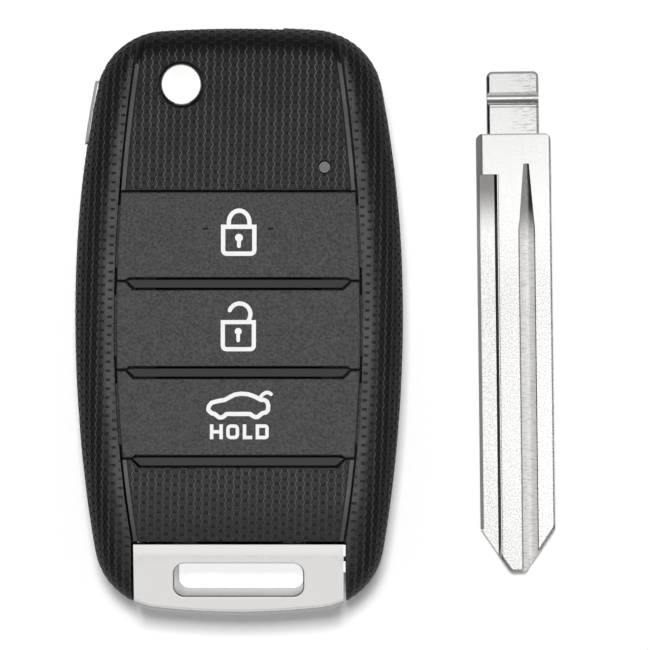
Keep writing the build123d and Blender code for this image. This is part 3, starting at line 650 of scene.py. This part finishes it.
def pushed_out(piece, skin, stays=None):
    """Moves a copy's outer face out past the honeycomb, which then bounds it alone."""
    near, push = 0.05 * mm, 0.2 * mm
    corners = [vertex.co for vertex in skin.data.vertices]
    surface = BVHTree.FromPolygons(corners, [face.vertices for face in skin.data.polygons])
    for vertex in piece.data.vertices:
        spot, facing, _, _ = surface.find_nearest(vertex.co, near)
        if spot is not None and not (stays and stays(vertex.co)):
            vertex.co += facing * push


def taken(piece):
    """Gives a piece the mesh that its modifiers make, and removes them."""
    graph = bpy.context.evaluated_depsgraph_get()
    mesh = bpy.data.meshes.new_from_object(piece.evaluated_get(graph))
    piece.modifiers.clear()
    piece.data = mesh


def discarded(*pieces):
    """Removes blocks that only served to cut or join."""
    for piece in pieces:
        bpy.data.objects.remove(piece)


def combined(piece, operation, tool):
    """Cuts or joins a closed piece with a closed tool."""
    modifier = piece.modifiers.new(operation.lower(), "BOOLEAN")
    modifier.operation = operation
    modifier.solver = "MANIFOLD"
    modifier.object = tool
    taken(piece)


def shaded(piece, sharp):
    """Shades a piece smooth but for edges sharper than an angle in degrees."""
    piece.data.polygons.foreach_set("use_smooth", [True] * len(piece.data.polygons))
    piece.data.set_sharp_from_angle(angle=math.radians(sharp))


def finished(piece, body, material, node=None, sharp=38):
    """Shades and coats a new piece, attaches it to its body, and hides the CAD node it stands for, if
    any.
    """
    if sharp:
        shaded(piece, sharp)
    piece.data.materials.clear()
    piece.data.materials.append(material)
    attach(piece, body)
    if node:
        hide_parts(node)


def turned_over(piece):
    """Mirrors a piece's mesh in height, with its faces still outwards."""
    shape = bmesh.new()
    shape.from_mesh(piece.data)
    bmesh.ops.scale(shape, vec=(1.0, 1.0, -1.0), verts=shape.verts)
    bmesh.ops.reverse_faces(shape, faces=shape.faces)
    shape.to_mesh(piece.data)
    shape.free()


# The bends' tones are painted shade and the flat front's and crests' lighter tones painted light.
case_black = honeycomb_plastic("case_black", {
    "Bent Ground": 0.0045, "Bent Crest": 0.045, "Flat Ground": 0.045, "Flat Crest": 0.1,
})
cell = honeycomb_cell("honeycomb_cell", crest=-0.004 * mm, floor=-0.05 * mm, cut=-0.13 * mm)
plain_cell = honeycomb_cell("plain_cell", crest=0.0, floor=0.0, cut=0.0)
honeycomb_block = honeycomb_tree()
lattice = {
    "Cell": cell,
    "Columns": 66,
    "Rows": 86,
    "Column Pitch": column_pitch,
    "Row Pitch": row_pitch,
    "Lean": math.radians(-1.6),
    "Material": case_black,
}


def block_and_skin(name, edge_radius, crown, top, split):
    """A block with the honeycomb on it, and the plain skin that it is cut from."""
    shape = {
        **lattice,
        **crown,
        "Path": outline_face(name + "_path", edge_radius),
        "Edge Radius": edge_radius,
        "Top": top,
        "Bottom": split - skin_overlap,
        "Apex": split - apex_depth,
    }
    block = grown(name + "_block", honeycomb_block, shape)
    return block, grown(name + "_skin", honeycomb_block, {**shape, "Cell": plain_cell})


back_block, back_skin = block_and_skin("back", back_edge_radius, no_crown, 0.0, -split_height)
turned_over(back_block)
turned_over(back_skin)
parting = prism_between(
    "parting", outline_ring(-parting_outside), outline_ring(parting_depth),
    split_height - parting_half, split_height + parting_half,
)
back_cover = merged_copy("back_cover", "back_tub")
pushed_out(back_cover, back_skin)
combined(back_cover, "INTERSECT", back_block)
combined(back_cover, "DIFFERENCE", parting)
finished(back_cover, "root", case_black, "back_cover")
discarded(back_block, back_skin)


# The seat that the head turns on, a turned steel stem with a flange, and the washer on it.
# The seat is pressed into the back cover; the washer is stamped from white slippery plastic.

def marks_group():
    """Marks of a tool or a polishing wheel, of a given size each way, and painted shade on eased
    edges.
    """
    inputs = {"Size": "Vector", "Detail": "Float", "Edge Painted Shade": "Float"}
    outputs = {"Marks": "Float", "Painted Shade": "Float"}
    tree, given = new_group("metal_marks", "ShaderNodeTree", inputs, outputs)
    place = vector_maths(tree, "DIVIDE", object_place(tree), given["Size"])
    marks = noise(tree, place, 1.0, given["Detail"])
    eased = add(tree, "ShaderNodeAttribute", attribute_name="eased").outputs["Fac"]
    painted_shade = product(tree, eased, given["Edge Painted Shade"])
    add(tree, "NodeGroupOutput", {"Marks": marks, "Painted Shade": painted_shade})
    return tree


metal_marks = marks_group()


def marked(tree, sizes, detail, edge_painted_shade=0.0):
    """The marks and the painted edge shade in a material; sizes are the marks' along x, y and z."""
    inputs = {"Size": sizes, "Detail": detail, "Edge Painted Shade": edge_painted_shade}
    return add(tree, "ShaderNodeGroup", inputs, node_tree=metal_marks).outputs


def metal(name, colour, spread, roughness, marks, depth, edge_painted_shade=0.0):
    """Bare or plated metal with fine marks and painted shade on eased edges; marks are their sizes
    along x, y and z.
    """
    painted_shade_colour, uneven = (0.05, 0.045, 0.04, 1.0), 0.25
    material, tree, shader = new_material(name)
    lines, painted_shade = marked(tree, marks, detail=4.0, edge_painted_shade=edge_painted_shade)
    least, most = (roughness * (1 + way * uneven) for way in (-1, 1))
    feed(tree, shader, {
        "Base Color": blend(tree, painted_shade, two_tone(tree, lines, colour, spread), painted_shade_colour),
        "Roughness": ranged(tree, lines, least, most, start=0.3, stop=0.7),
        "Normal": bumped(tree, lines, depth),
        "Metallic": 1.0,
    })
    return material


def coat(node, material):
    """Gives a CAD node its finished material in all its slots."""
    for slot in nodes[node].material_slots:
        slot.material = material


turned_steel = metal(
    "turned_steel", colour=(0.6, 0.59, 0.58), spread=0.1, roughness=0.25,
    marks=(2.0 * mm, 2.0 * mm, 0.05 * mm), depth=0.002 * mm,
)
coat("spring_seat", turned_steel)
coat("pivot_washer", moulded_plastic(
    "washer_plastic", colour=(0.74, 0.73, 0.7), spread=0.04, roughness=0.4,
    grain=0.15 * mm, depth=0.002 * mm, sheen=0.4,
))


# The folding head: a zinc casting, polished and plated bright, with the blade's socket and
# the barrel that turns on the seat. The coil spring in the barrel is wound from drawn steel
# wire; in the fob it shortens as the release button goes down, here it keeps its length.

def softened(node, name, width, sharp=38, least_turn=28):
    """A merged copy of a CAD node with its sharp edges eased; "eased" is 1 along their middles."""
    piece = merged_copy(node, name)
    shaded(piece, sharp)
    bevel = piece.modifiers.new("eased_edges", "BEVEL")
    bevel.width = width
    bevel.segments = 2
    bevel.limit_method = "ANGLE"
    bevel.angle_limit = math.radians(least_turn)
    bevel.use_clamp_overlap = True
    bevel.harden_normals = True
    bevel.material = 1
    piece.data.materials.append(None)
    piece.data.materials.append(None)
    taken(piece)
    faces = piece.data.polygons
    only_eased = [True] * len(piece.data.vertices)
    for face in faces:
        if face.material_index == 0:
            for corner in face.vertices:
                only_eased[corner] = False
    faces.foreach_set("material_index", [0] * len(faces))
    eased = piece.data.attributes.new("eased", "FLOAT", "POINT")
    eased.data.foreach_set("value", [float(value) for value in only_eased])
    return piece


bright_plate = metal(
    "bright_plate", colour=(0.79, 0.775, 0.77), spread=0.02, roughness=0.14,
    marks=(1.8 * mm, 1.8 * mm, 1.8 * mm), depth=0.0012 * mm, edge_painted_shade=0.35,
)
head = softened("flip_head", "folding_head_casting", width=0.06 * mm)
finished(head, "folding_head", bright_plate, "flip_head", sharp=None)
drawn_wire = metal(
    "drawn_wire", colour=(0.5, 0.49, 0.48), spread=0.15, roughness=0.3,
    marks=(0.3 * mm, 0.3 * mm, 0.08 * mm), depth=0.003 * mm,
)
spring = merged_copy("flip_spring", "coil_spring")
finished(spring, "folding_head", drawn_wire, "flip_spring")
spring_low, spring_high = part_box("flip_spring")
spring_foot = (spring_low + spring_high) / 2
spring_foot.z = spring_low.z
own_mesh(spring)


# The board tray, dull black plastic as it leaves the mould, which lies between the covers,
# and on it the mat of black rubber, pressed in one piece with a dome under each key.
coat("board_tray", moulded_plastic(
    "tray_plastic", colour=(0.03, 0.03, 0.03), spread=0.2, roughness=0.5,
    grain=0.12 * mm, depth=0.004 * mm, sheen=0.4,
))
coat("keypad_mat", moulded_plastic(
    "mat_rubber", colour=(0.028, 0.028, 0.028), spread=0.25, roughness=0.7,
    grain=0.1 * mm, depth=0.003 * mm, sheen=0.25,
))


# The front cover: the two side rails, joined by a deck under the keys. It is moulded in the
# same black plastic, with the back's honeycomb wrapped over its edge from front to flank.
front_edge_radius = 4.2 * mm
crown = {
    "Upper Start": 8.0 * mm,
    "Upper Radius": 320.0 * mm,
    "Lower Start": -21.0 * mm,
    "Lower Radius": 45.0 * mm,
}
front_block, front_skin = block_and_skin(
    "front", front_edge_radius, crown, case_top, split_height
)
front_cover = merged_copy("front_cover", "side_rails")
pushed_out(front_cover, front_skin)
combined(front_cover, "INTERSECT", front_block)
combined(front_cover, "DIFFERENCE", parting)
finished(front_cover, "root", case_black, "front_cover")
discarded(parting)


# The frame under the keys: one smooth moulding in satin black plastic, set on the deck.
# Its crossbars stand up between the keys.
satin_black = moulded_plastic(
    "satin_black", colour=(0.022, 0.022, 0.023), spread=0.12, roughness=0.38,
    grain=0.08 * mm, depth=0.0015 * mm, sheen=0.3,
)
crossbars = softened("key_frame", "crossbars", width=0.08 * mm)
finished(crossbars, "root", satin_black, "key_frame", sharp=None)


# The panel above and below the keys, one moulding with the honeycomb on its face, set in
# between the rails. A narrow rib left smooth runs down each side of it, along the rails,
# with a groove on its inner side.
strip_half_width = 15.73 * mm
strip_widest_y = -1.2 * mm
strip_radii = {"upper": 237.0 * mm, "lower": 165.0 * mm}
rib_outer, rib_inner, groove_side = 0.25 * mm, 0.89 * mm, 0.99 * mm
half_groove = 0.08 * mm
rib_shine = 0.55


def strip_side(y):
    """Half the width between the rails at y."""
    radius = strip_radii["upper" if y > strip_widest_y else "lower"]
    return strip_half_width - radius + math.sqrt(radius**2 - (y - strip_widest_y)**2)


def smooth_rib(side):
    """A block that keeps the honeycomb off the panel's rib on one side."""
    low, high, past_edge = 2.0 * mm, 20.0 * mm, 0.6 * mm
    start, stop, steps = -30 * mm, 38 * mm, 60
    levels = np.linspace(start, stop, steps)
    ring = [(side * (strip_side(y) + past_edge), y) for y in levels]
    ring += [(side * (strip_side(y) - rib_inner), y) for y in levels[::-1]]
    if side < 0:
        ring = ring[::-1]
    count = len(ring)
    points = [(x, y, z) for z in (low, high) for x, y in ring]
    faces = [(a, (a + 1) % count, (a + 1) % count + count, a + count) for a in range(count)]
    for a in range(len(levels) - 1):
        b = count - 1 - a
        faces += [(a, b, b - 1, a + 1), (a + 1 + count, b - 1 + count, b + count, a + count)]
    return linked("smooth_rib", new_mesh("smooth_rib", points, faces))


def beside_strip(place):
    """How far a point lies inside the strip between the rails."""
    return strip_side(place.y) - abs(place.x)


def rib_floor(y):
    """A height between the rib's top and the floor of the groove beside it."""
    floor = case_top - half_groove
    for half, way in (("Upper", 1.0), ("Lower", -1.0)):
        past = max(way * (y - crown[half + " Start"]), 0.0)
        floor -= crown[half + " Radius"] * (1 - math.cos(past / crown[half + " Radius"]))
    return floor


for side in (-1, 1):
    rib = smooth_rib(side)
    combined(front_block, "UNION", rib)
    discarded(rib)
panel = merged_copy("face_panel", "panel")
pushed_out(panel, front_skin, lambda place: beside_strip(place) < rib_inner)
# The rib's top gets a painted highlight (rib_shine) and the groove beside it the cuts' painted shade,
# through the relief attribute.
relief = panel.data.attributes.new("relief", "FLOAT", "POINT")
for vertex in panel.data.vertices:
    if rib_outer < beside_strip(vertex.co) < groove_side:
        on_top = beside_strip(vertex.co) < rib_inner and vertex.co.z > rib_floor(vertex.co.y)
        relief.data[vertex.index].value = rib_shine if on_top else -1.0
combined(panel, "INTERSECT", front_block)
# The bends' tones are painted shade and the flat front's and crests' lighter tones painted light.
panel_black = honeycomb_plastic("panel_black", {
    "Bent Ground": 0.002, "Bent Crest": 0.015, "Flat Ground": 0.007, "Flat Crest": 0.135,
})
finished(panel, "root", panel_black, "face_panel")
discarded(front_block, front_skin)


# The three keys: black plastic with a fine matt grain, flush with the case, on lips under
# the rails. Their signs are screen printed in white; the top one has two marks to feel.
key_plastic = moulded_plastic(
    "key_plastic", colour=(0.045, 0.045, 0.046), spread=0.6, roughness=0.5,
    grain=0.14 * mm, depth=0.006 * mm, sheen=0.35, patch=0.34 * mm,
)
for key in ("key_lock", "key_unlock", "key_trunk"):
    coat(key, key_plastic)
print_white = moulded_plastic(
    "print_white", colour=(0.79, 0.79, 0.79), spread=0.03, roughness=0.45,
    grain=0.05 * mm, depth=0.001 * mm, sheen=0.3,
)
# The marks' near-black colour is painted shade, standing in for the shadow round the small raised
# bars.
mark_shade_plastic = moulded_plastic(
    "mark_shade_plastic", colour=(0.006, 0.006, 0.006), spread=0.1, roughness=0.5,
    grain=0.05 * mm, depth=0.001 * mm, sheen=0.2,
)


def key_surface(y):
    """Height of the crowned front face at y."""
    past = max(y - crown["Upper Start"], 0.0)
    return case_top - crown["Upper Radius"] + math.sqrt(crown["Upper Radius"]**2 - past**2)


def rounded_path(corners, radius, closed, steps=6):
    """Points along straight runs whose corners are rounded by a radius or a list of radii."""
    most_of_run = 0.48
    count = len(corners)
    radii = radius if isinstance(radius, (list, tuple)) else [radius] * count
    path = []
    for index, corner in enumerate(corners):
        here = np.array(corner, dtype=float)
        if not closed and index in (0, count - 1) or radii[index] <= 0:
            path.append(here)
            continue
        before = np.array(corners[index - 1]) - here
        after = np.array(corners[(index + 1) % count]) - here
        turn = math.acos(np.clip(unit(before) @ unit(after), -1, 1))
        run = radii[index] / math.tan(turn / 2)
        run = min([run] + [most_of_run * np.linalg.norm(way) for way in (before, after)])
        start = here + unit(before) * run
        stop = here + unit(after) * run
        for share in np.linspace(0, 1, steps):
            rest = 1 - share
            path.append(rest**2 * start + 2 * share * rest * here + share**2 * stop)
    return path


def arc_path(x, y, radius_x, radius_y, start, stop, steps=24):
    """Points along an arc, angles in degrees."""
    turns = np.radians(np.linspace(start, stop, steps))
    return [np.array([x + radius_x * math.cos(t), y + radius_y * math.sin(t)]) for t in turns]


def plate(name, loops, proud, sunk):
    """A thin printed plate on the keys' face from an outer loop, or one round an inner loop."""
    points = []
    count = len(loops[0])
    for loop in loops:
        for lift in (-sunk, proud):
            points += [(x * mm, y * mm, key_surface(y * mm) + lift) for x, y in loop]
    around = [(a, (a + 1) % count) for a in range(count)]
    faces = [(a, b, b + count, a + count) for a, b in around]
    if len(loops) == 1:
        faces += [tuple(range(count))[::-1], tuple(range(count, 2 * count))]
    else:
        faces += [(b + 2 * count, a + 2 * count, a + 3 * count, b + 3 * count) for a, b in around]
        faces += [(a + count, b + count, b + 3 * count, a + 3 * count) for a, b in around]
        faces += [(b, a, a + 2 * count, b + 2 * count) for a, b in around]
    return linked(name, new_mesh(name, points, faces))


def stroke(path, width, closed=False, round_ends=True):
    """The loops round a line of even width, with mitred corners and round ends."""
    sharpest_mitre, end_steps = 0.5, 9
    left, right = [], []
    path = [np.array(point) for point in path]
    count = len(path)
    for index, here in enumerate(path):
        before = path[index - 1] if index or closed else None
        after = path[(index + 1) % count] if index < count - 1 or closed else None
        ways = []
        if before is not None:
            ways.append(unit(here - before))
        if after is not None:
            ways.append(unit(after - here))
        way = unit(sum(ways))
        normal = np.array([-way[1], way[0]])
        reach = width / 2 / max(sharpest_mitre, way @ ways[0])
        left.append(here + normal * reach)
        right.append(here - normal * reach)
    if closed:
        area = sum(a[0] * b[1] - b[0] * a[1] for a, b in zip(right, right[1:] + right[:1]))
        outer, inner = (right, left) if area > 0 else (left[::-1], right[::-1])
        return [outer, inner]
    loop = list(right)
    for end, sides in ((path[-1], (right[-1], left[-1])), (path[0], (left[0], right[0]))):
        if round_ends:
            first = math.atan2(*(sides[0] - end)[::-1])
            for turn in first + np.linspace(0, math.pi, end_steps)[1:-1]:
                loop.append(end + width / 2 * np.array([math.cos(turn), math.sin(turn)]))
        if sides[0] is right[-1]:
            loop += left[::-1]
    return [loop]


def sign(name, body, key, shapes, material=print_white, proud=0.012 * mm, sunk=0.02 * mm):
    """One printed sign on a key, its strokes and dots joined into one closed piece."""
    piece = None
    for loops in shapes:
        part = plate(name, loops, proud, sunk)
        if piece is None:
            piece = part
        else:
            combined(piece, "UNION", part)
            discarded(part)
    piece.name = name
    finished(piece, body, material, sharp=60)


def dot(x, y, radius):
    """The loop of a round dot."""
    return [arc_path(x, y, radius, radius, 0, 360, 33)[:-1]]


closed_body = [(-1.914, 11.82), (-1.914, 8.42), (2.03, 8.42), (2.03, 11.82)]
closed_shackle = arc_path(0.108, 12.36, 1.302, 1.496, 180, 0)
closed_shackle = [(-1.194, 11.7), *closed_shackle, (1.41, 11.7)]
sign("closed_lock_sign", "lock_button", "key_lock", [
    stroke(rounded_path(closed_body, [0.0, 0.54, 0.54, 0.0], True), 0.556, closed=True),
    stroke(closed_shackle, 0.556, round_ends=False),
    dot(0.089, 10.44, 0.499),
    stroke([(0.089, 10.4), (0.089, 9.4)], 0.5),
])
open_body = [(-1.951, -0.214), (-1.951, -3.638), (1.966, -3.638), (1.966, -0.214)]
sign("open_lock_sign", "unlock_button", "key_unlock", [
    stroke(rounded_path(open_body, [0.0, 0.54, 0.54, 0.0], True), 0.531, closed=True),
    stroke(arc_path(0.184, 0.785, 1.35, 1.35, -35, 158), 0.531),
    dot(-0.005, -1.389, 0.44),
    stroke([(-0.005, -1.4), (-0.005, -2.52)], 0.46),
])
car = [
    (-2.98, -11.78), (-3.27, -11.78), (-3.81, -11.31), (-3.7, -10.8), (-3.37, -10.4), (-2.58, -10.18),
    (-1.71, -10.04), (-1.12, -9.71), (-0.47, -9.38), (0.3, -9.25), (1.2, -9.31), (1.78, -9.49),
    (2.36, -9.75), (2.87, -10.04), (3.3, -10.04), (3.63, -10.25), (3.79, -10.75), (3.76, -11.3),
    (3.55, -11.6), (3.08, -11.7), (2.72, -11.96), (2.45, -12.2), (2.1, -12.2), (1.78, -12.03),
    (1.52, -11.81), (-1.49, -11.81), (-1.78, -12.1), (-2.07, -12.25), (-2.43, -12.25), (-2.79, -11.96),
]
lid = [(2.72, -9.78), (3.08, -9.35), (3.52, -9.09), (3.88, -9.13), (4.14, -9.31)]
low, high = -14.78, -13.34
foot, head_line = -15.0, -13.12
letters = [
    ([(-3.362, foot), (-3.362, head_line)], False, 0.0),
    ([(-2.16, foot), (-2.16, head_line)], False, 0.0),
    ([(-3.3, -14.06), (-2.2, -14.06)], False, 0.0),
    ([(-1.301, low), (-0.112, low), (-0.112, high), (-1.301, high)], True, 0.42),
    ([(0.785, head_line), (0.785, low), (1.765, low)], False, 0.0),
    ([(2.415, low), (3.05, low), (3.629, low), (3.629, high), (3.05, high), (2.415, high)], True,
     [0.0, 0.0, 0.6, 0.6, 0.0, 0.0]),
]
car_shapes = [
    stroke(rounded_path(car, 0.3, True, 4), 0.54, closed=True),
    stroke(rounded_path(lid, 0.4, False), 0.46),
]
for corners, is_loop, radius in letters:
    path = rounded_path(corners, radius, is_loop)
    car_shapes.append(stroke(path, 0.442, closed=is_loop, round_ends=False))
sign("trunk_sign", "trunk_button", "key_trunk", car_shapes)
marks_to_feel = [
    stroke([(x - 0.24, 11.56), (x, 11.62), (x + 0.24, 11.56)], 0.24) for x in (-4.13, 4.07)
]
sign("marks_to_feel", "lock_button", "key_lock", marks_to_feel, mark_shade_plastic, proud=0.07 * mm)


# The light guide of the indicator: a short pin moulded in smoked clear plastic and pressed
# into the panel, its end flush with the face.
lens_plastic = moulded_plastic(
    "lens_plastic", colour=(0.1, 0.1, 0.105), spread=0.1, roughness=0.16,
    grain=0.2 * mm, depth=0.001 * mm, sheen=0.5,
)
lens_plastic.node_tree.nodes["Principled BSDF"].inputs["Coat Weight"].default_value = 0.4
coat("led_lens", lens_plastic)


# The release button: a splined body moulded in black plastic, which slides in the head, and
# its cap, turned and plated to a mirror with a narrow bevel.
coat("button_hub", moulded_plastic(
    "hub_plastic", colour=(0.04, 0.04, 0.04), spread=0.15, roughness=0.4,
    grain=0.1 * mm, depth=0.003 * mm, sheen=0.45,
))


def laid_on(material):
    """A metal's tree, its shader, and its colour, for more to be laid on it."""
    tree = material.node_tree
    shader = tree.nodes["Principled BSDF"]
    return tree, shader, shader.inputs["Base Color"].links[0].from_socket


def cap_plate():
    """Mirror plating, with a painted dark line of reflection and painted shade round the rim."""
    rim_start, rim_full, rim_painted_shade = 0.3 * mm, 0.12 * mm, (0.06, 0.045, 0.04, 1.0)
    low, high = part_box("button_cap")
    cap_radius = (high.x - low.x) / 2
    material = metal(
        "cap_plate", colour=(0.86, 0.855, 0.85), spread=0.01, roughness=0.1,
        marks=(1.5 * mm, 1.5 * mm, 1.5 * mm), depth=0.001 * mm,
    )
    tree, shader, plated = laid_on(material)
    apart = vector_maths(tree, "SUBTRACT", object_place(tree), (low + high) / 2)
    apart = vector_maths(tree, "MULTIPLY", apart, (1.0, 1.0, 0.0))
    reach = vector_maths(tree, "LENGTH", apart, share="Value")
    # painted shade and dark reflection round the cap's rim
    rim = fade(tree, reach, cap_radius - rim_start, cap_radius - rim_full)
    feed(tree, shader, {"Base Color": blend(tree, rim, plated, rim_painted_shade)})
    return material


coat("button_cap", cap_plate())


# The end bar: a zinc casting, polished and plated, with the slot for the key ring, hooked
# into the back cover.
bar = softened("end_bar", "plated_bar", width=0.1 * mm)
finished(bar, "root", bright_plate, "end_bar", sharp=None)


# Two small cross-head screws of bright steel, with cold-formed heads and rolled threads.
# They hold the covers together from the back.
coat("cover_screws", turned_steel)


# The loose uncut blade, nickel silver, blanked from strip and milled along its length.
# Milling leaves fine lines along it; its edges are eased by tumbling.
blade_place = (35.5 * mm, 24.35 * mm, 0.0)
blade_turn = (0.0, 0.0, math.radians(0.7))


def milled_blade():
    """Nickel silver with mill lines, pits and chatter, greyer towards the tip; painted shade on the
    ledge, flank, edges and steps, painted light in the groove.
    """
    material = metal(
        "nickel_silver", colour=(0.7, 0.697, 0.69), spread=0.1, roughness=0.2,
        marks=(0.1 * mm, 3.0 * mm, 0.1 * mm), depth=0.003 * mm, edge_painted_shade=0.75,
    )
    tree, shader, surface = laid_on(material)
    unturned = {0: object_place(tree), 1: blade_place, 2: blade_turn}
    unturned = add(tree, "ShaderNodeMapping", unturned, vector_type="TEXTURE").outputs[0]
    x, y, z = parts_of(tree, unturned)

    def past(value, start, stop):
        return fade(tree, value, start * mm, stop * mm)

    def inside(value, low, high, soft=0.05):
        return window(tree, value, low * mm, high * mm, soft * mm)

    pits = marked(tree, (0.2 * mm, 0.2 * mm, 0.2 * mm), detail=2.0)["Marks"]
    chatter = marked(tree, (1.1 * mm, 0.13 * mm, 1.0 * mm), detail=3.0)["Marks"]
    chatter = fade(tree, chatter, 0.53, 0.36)
    duller = past(y, -8.0, -24.0)
    pitted = product(
        tree, fade(tree, pits, 0.6, 0.34), maths(tree, "MULTIPLY_ADD", duller, 0.26, 0.1)
    )
    broken = maths(tree, "MULTIPLY_ADD", fade(tree, pits, 0.62, 0.42), 0.3, 0.7)
    scuffed = product(tree, past(y, 0.0, 0.3), past(x, -1.5, 2.5), chatter)
    past_start = past(y, -5.2, -5.3)
    above_ledge = maths(tree, "SUBTRACT", 1.0, past_start)
    on_ledge = product(tree, inside(x, -4.75, -2.2), past_start, past(y, -13.4, -6.5))
    on_body = past(y, 0.1, -0.1)
    full_groove = past(y, -11.0, -13.0)
    groove_matt_and_painted_light = product(tree, inside(x, 0.5, 2.7), past(z, 2.38, 2.3), past(y, -9.0, -14.5))
    grey, speck, flank = (0.3, 0.298, 0.295), (0.16, 0.155, 0.15), (0.3, 0.285, 0.27)
    ledge_painted_shade, groove_wall_painted_shade, line = (0.2, 0.195, 0.19), (0.3, 0.28, 0.27), (0.04, 0.038, 0.035)
    step, pale, rough = (0.08, 0.075, 0.07), (1.0, 0.985, 0.965), (0.2, 0.19, 0.185)
    layers = [
        (grey, duller, 0.21),
        (speck, pitted),
        (speck, scuffed, 0.45),
        # painted shade on the ledge where the cutter ran out
        (ledge_painted_shade, on_ledge),
        # painted shade along the left flank
        (flank, past(x, -4.1, -4.16), above_ledge),
        (flank, past(x, -4.3, -4.6), 0.55),
    ]
    # painted shade: dark lines along the edges of the flank, ledge, groove and right side
    for middle, half, strength, where in (
        (-4.1, 0.07, 0.75, above_ledge),
        (-2.46, 0.05, 0.85, past_start),
        (-2.05, 0.05, 0.85, past_start),
        (0.54, 0.08, 0.75, full_groove),
        (1.3, 0.05, 0.35, full_groove),
        (2.54, 0.13, 0.9, full_groove),
        (4.7, 0.11, 0.9, on_body),
    ):
        layers.append((line, inside(x, middle - half, middle + half, 0.04), where, broken, strength))
    # painted shade: dark bands across the blade at its steps
    for low, high, strength in ((-0.16, 0.02, 0.6), (3.42, 3.58, 0.55), (4.82, 5.1, 0.65)):
        layers.append((step, inside(y, low, high), strength))
    # painted light: a pale, less metallic groove, with painted shade on its right wall
    layers += [(pale, groove_matt_and_painted_light, 0.8), (groove_wall_painted_shade, groove_matt_and_painted_light, past(x, 1.2, 1.9), 0.15), (rough, groove_matt_and_painted_light, chatter, 0.35)]
    for colour, *masks in layers:
        surface = blend(tree, product(tree, *masks), surface, (*colour, 1.0))
    metallic = maths(tree, "MULTIPLY_ADD", groove_matt_and_painted_light, -0.75, 1.0)
    feed(tree, shader, {"Base Color": surface, "Metallic": metallic})
    return material


blade = softened("key_blade", "uncut_blade", width=0.12 * mm)
finished(blade, "root", milled_blade(), "key_blade", sharp=None)
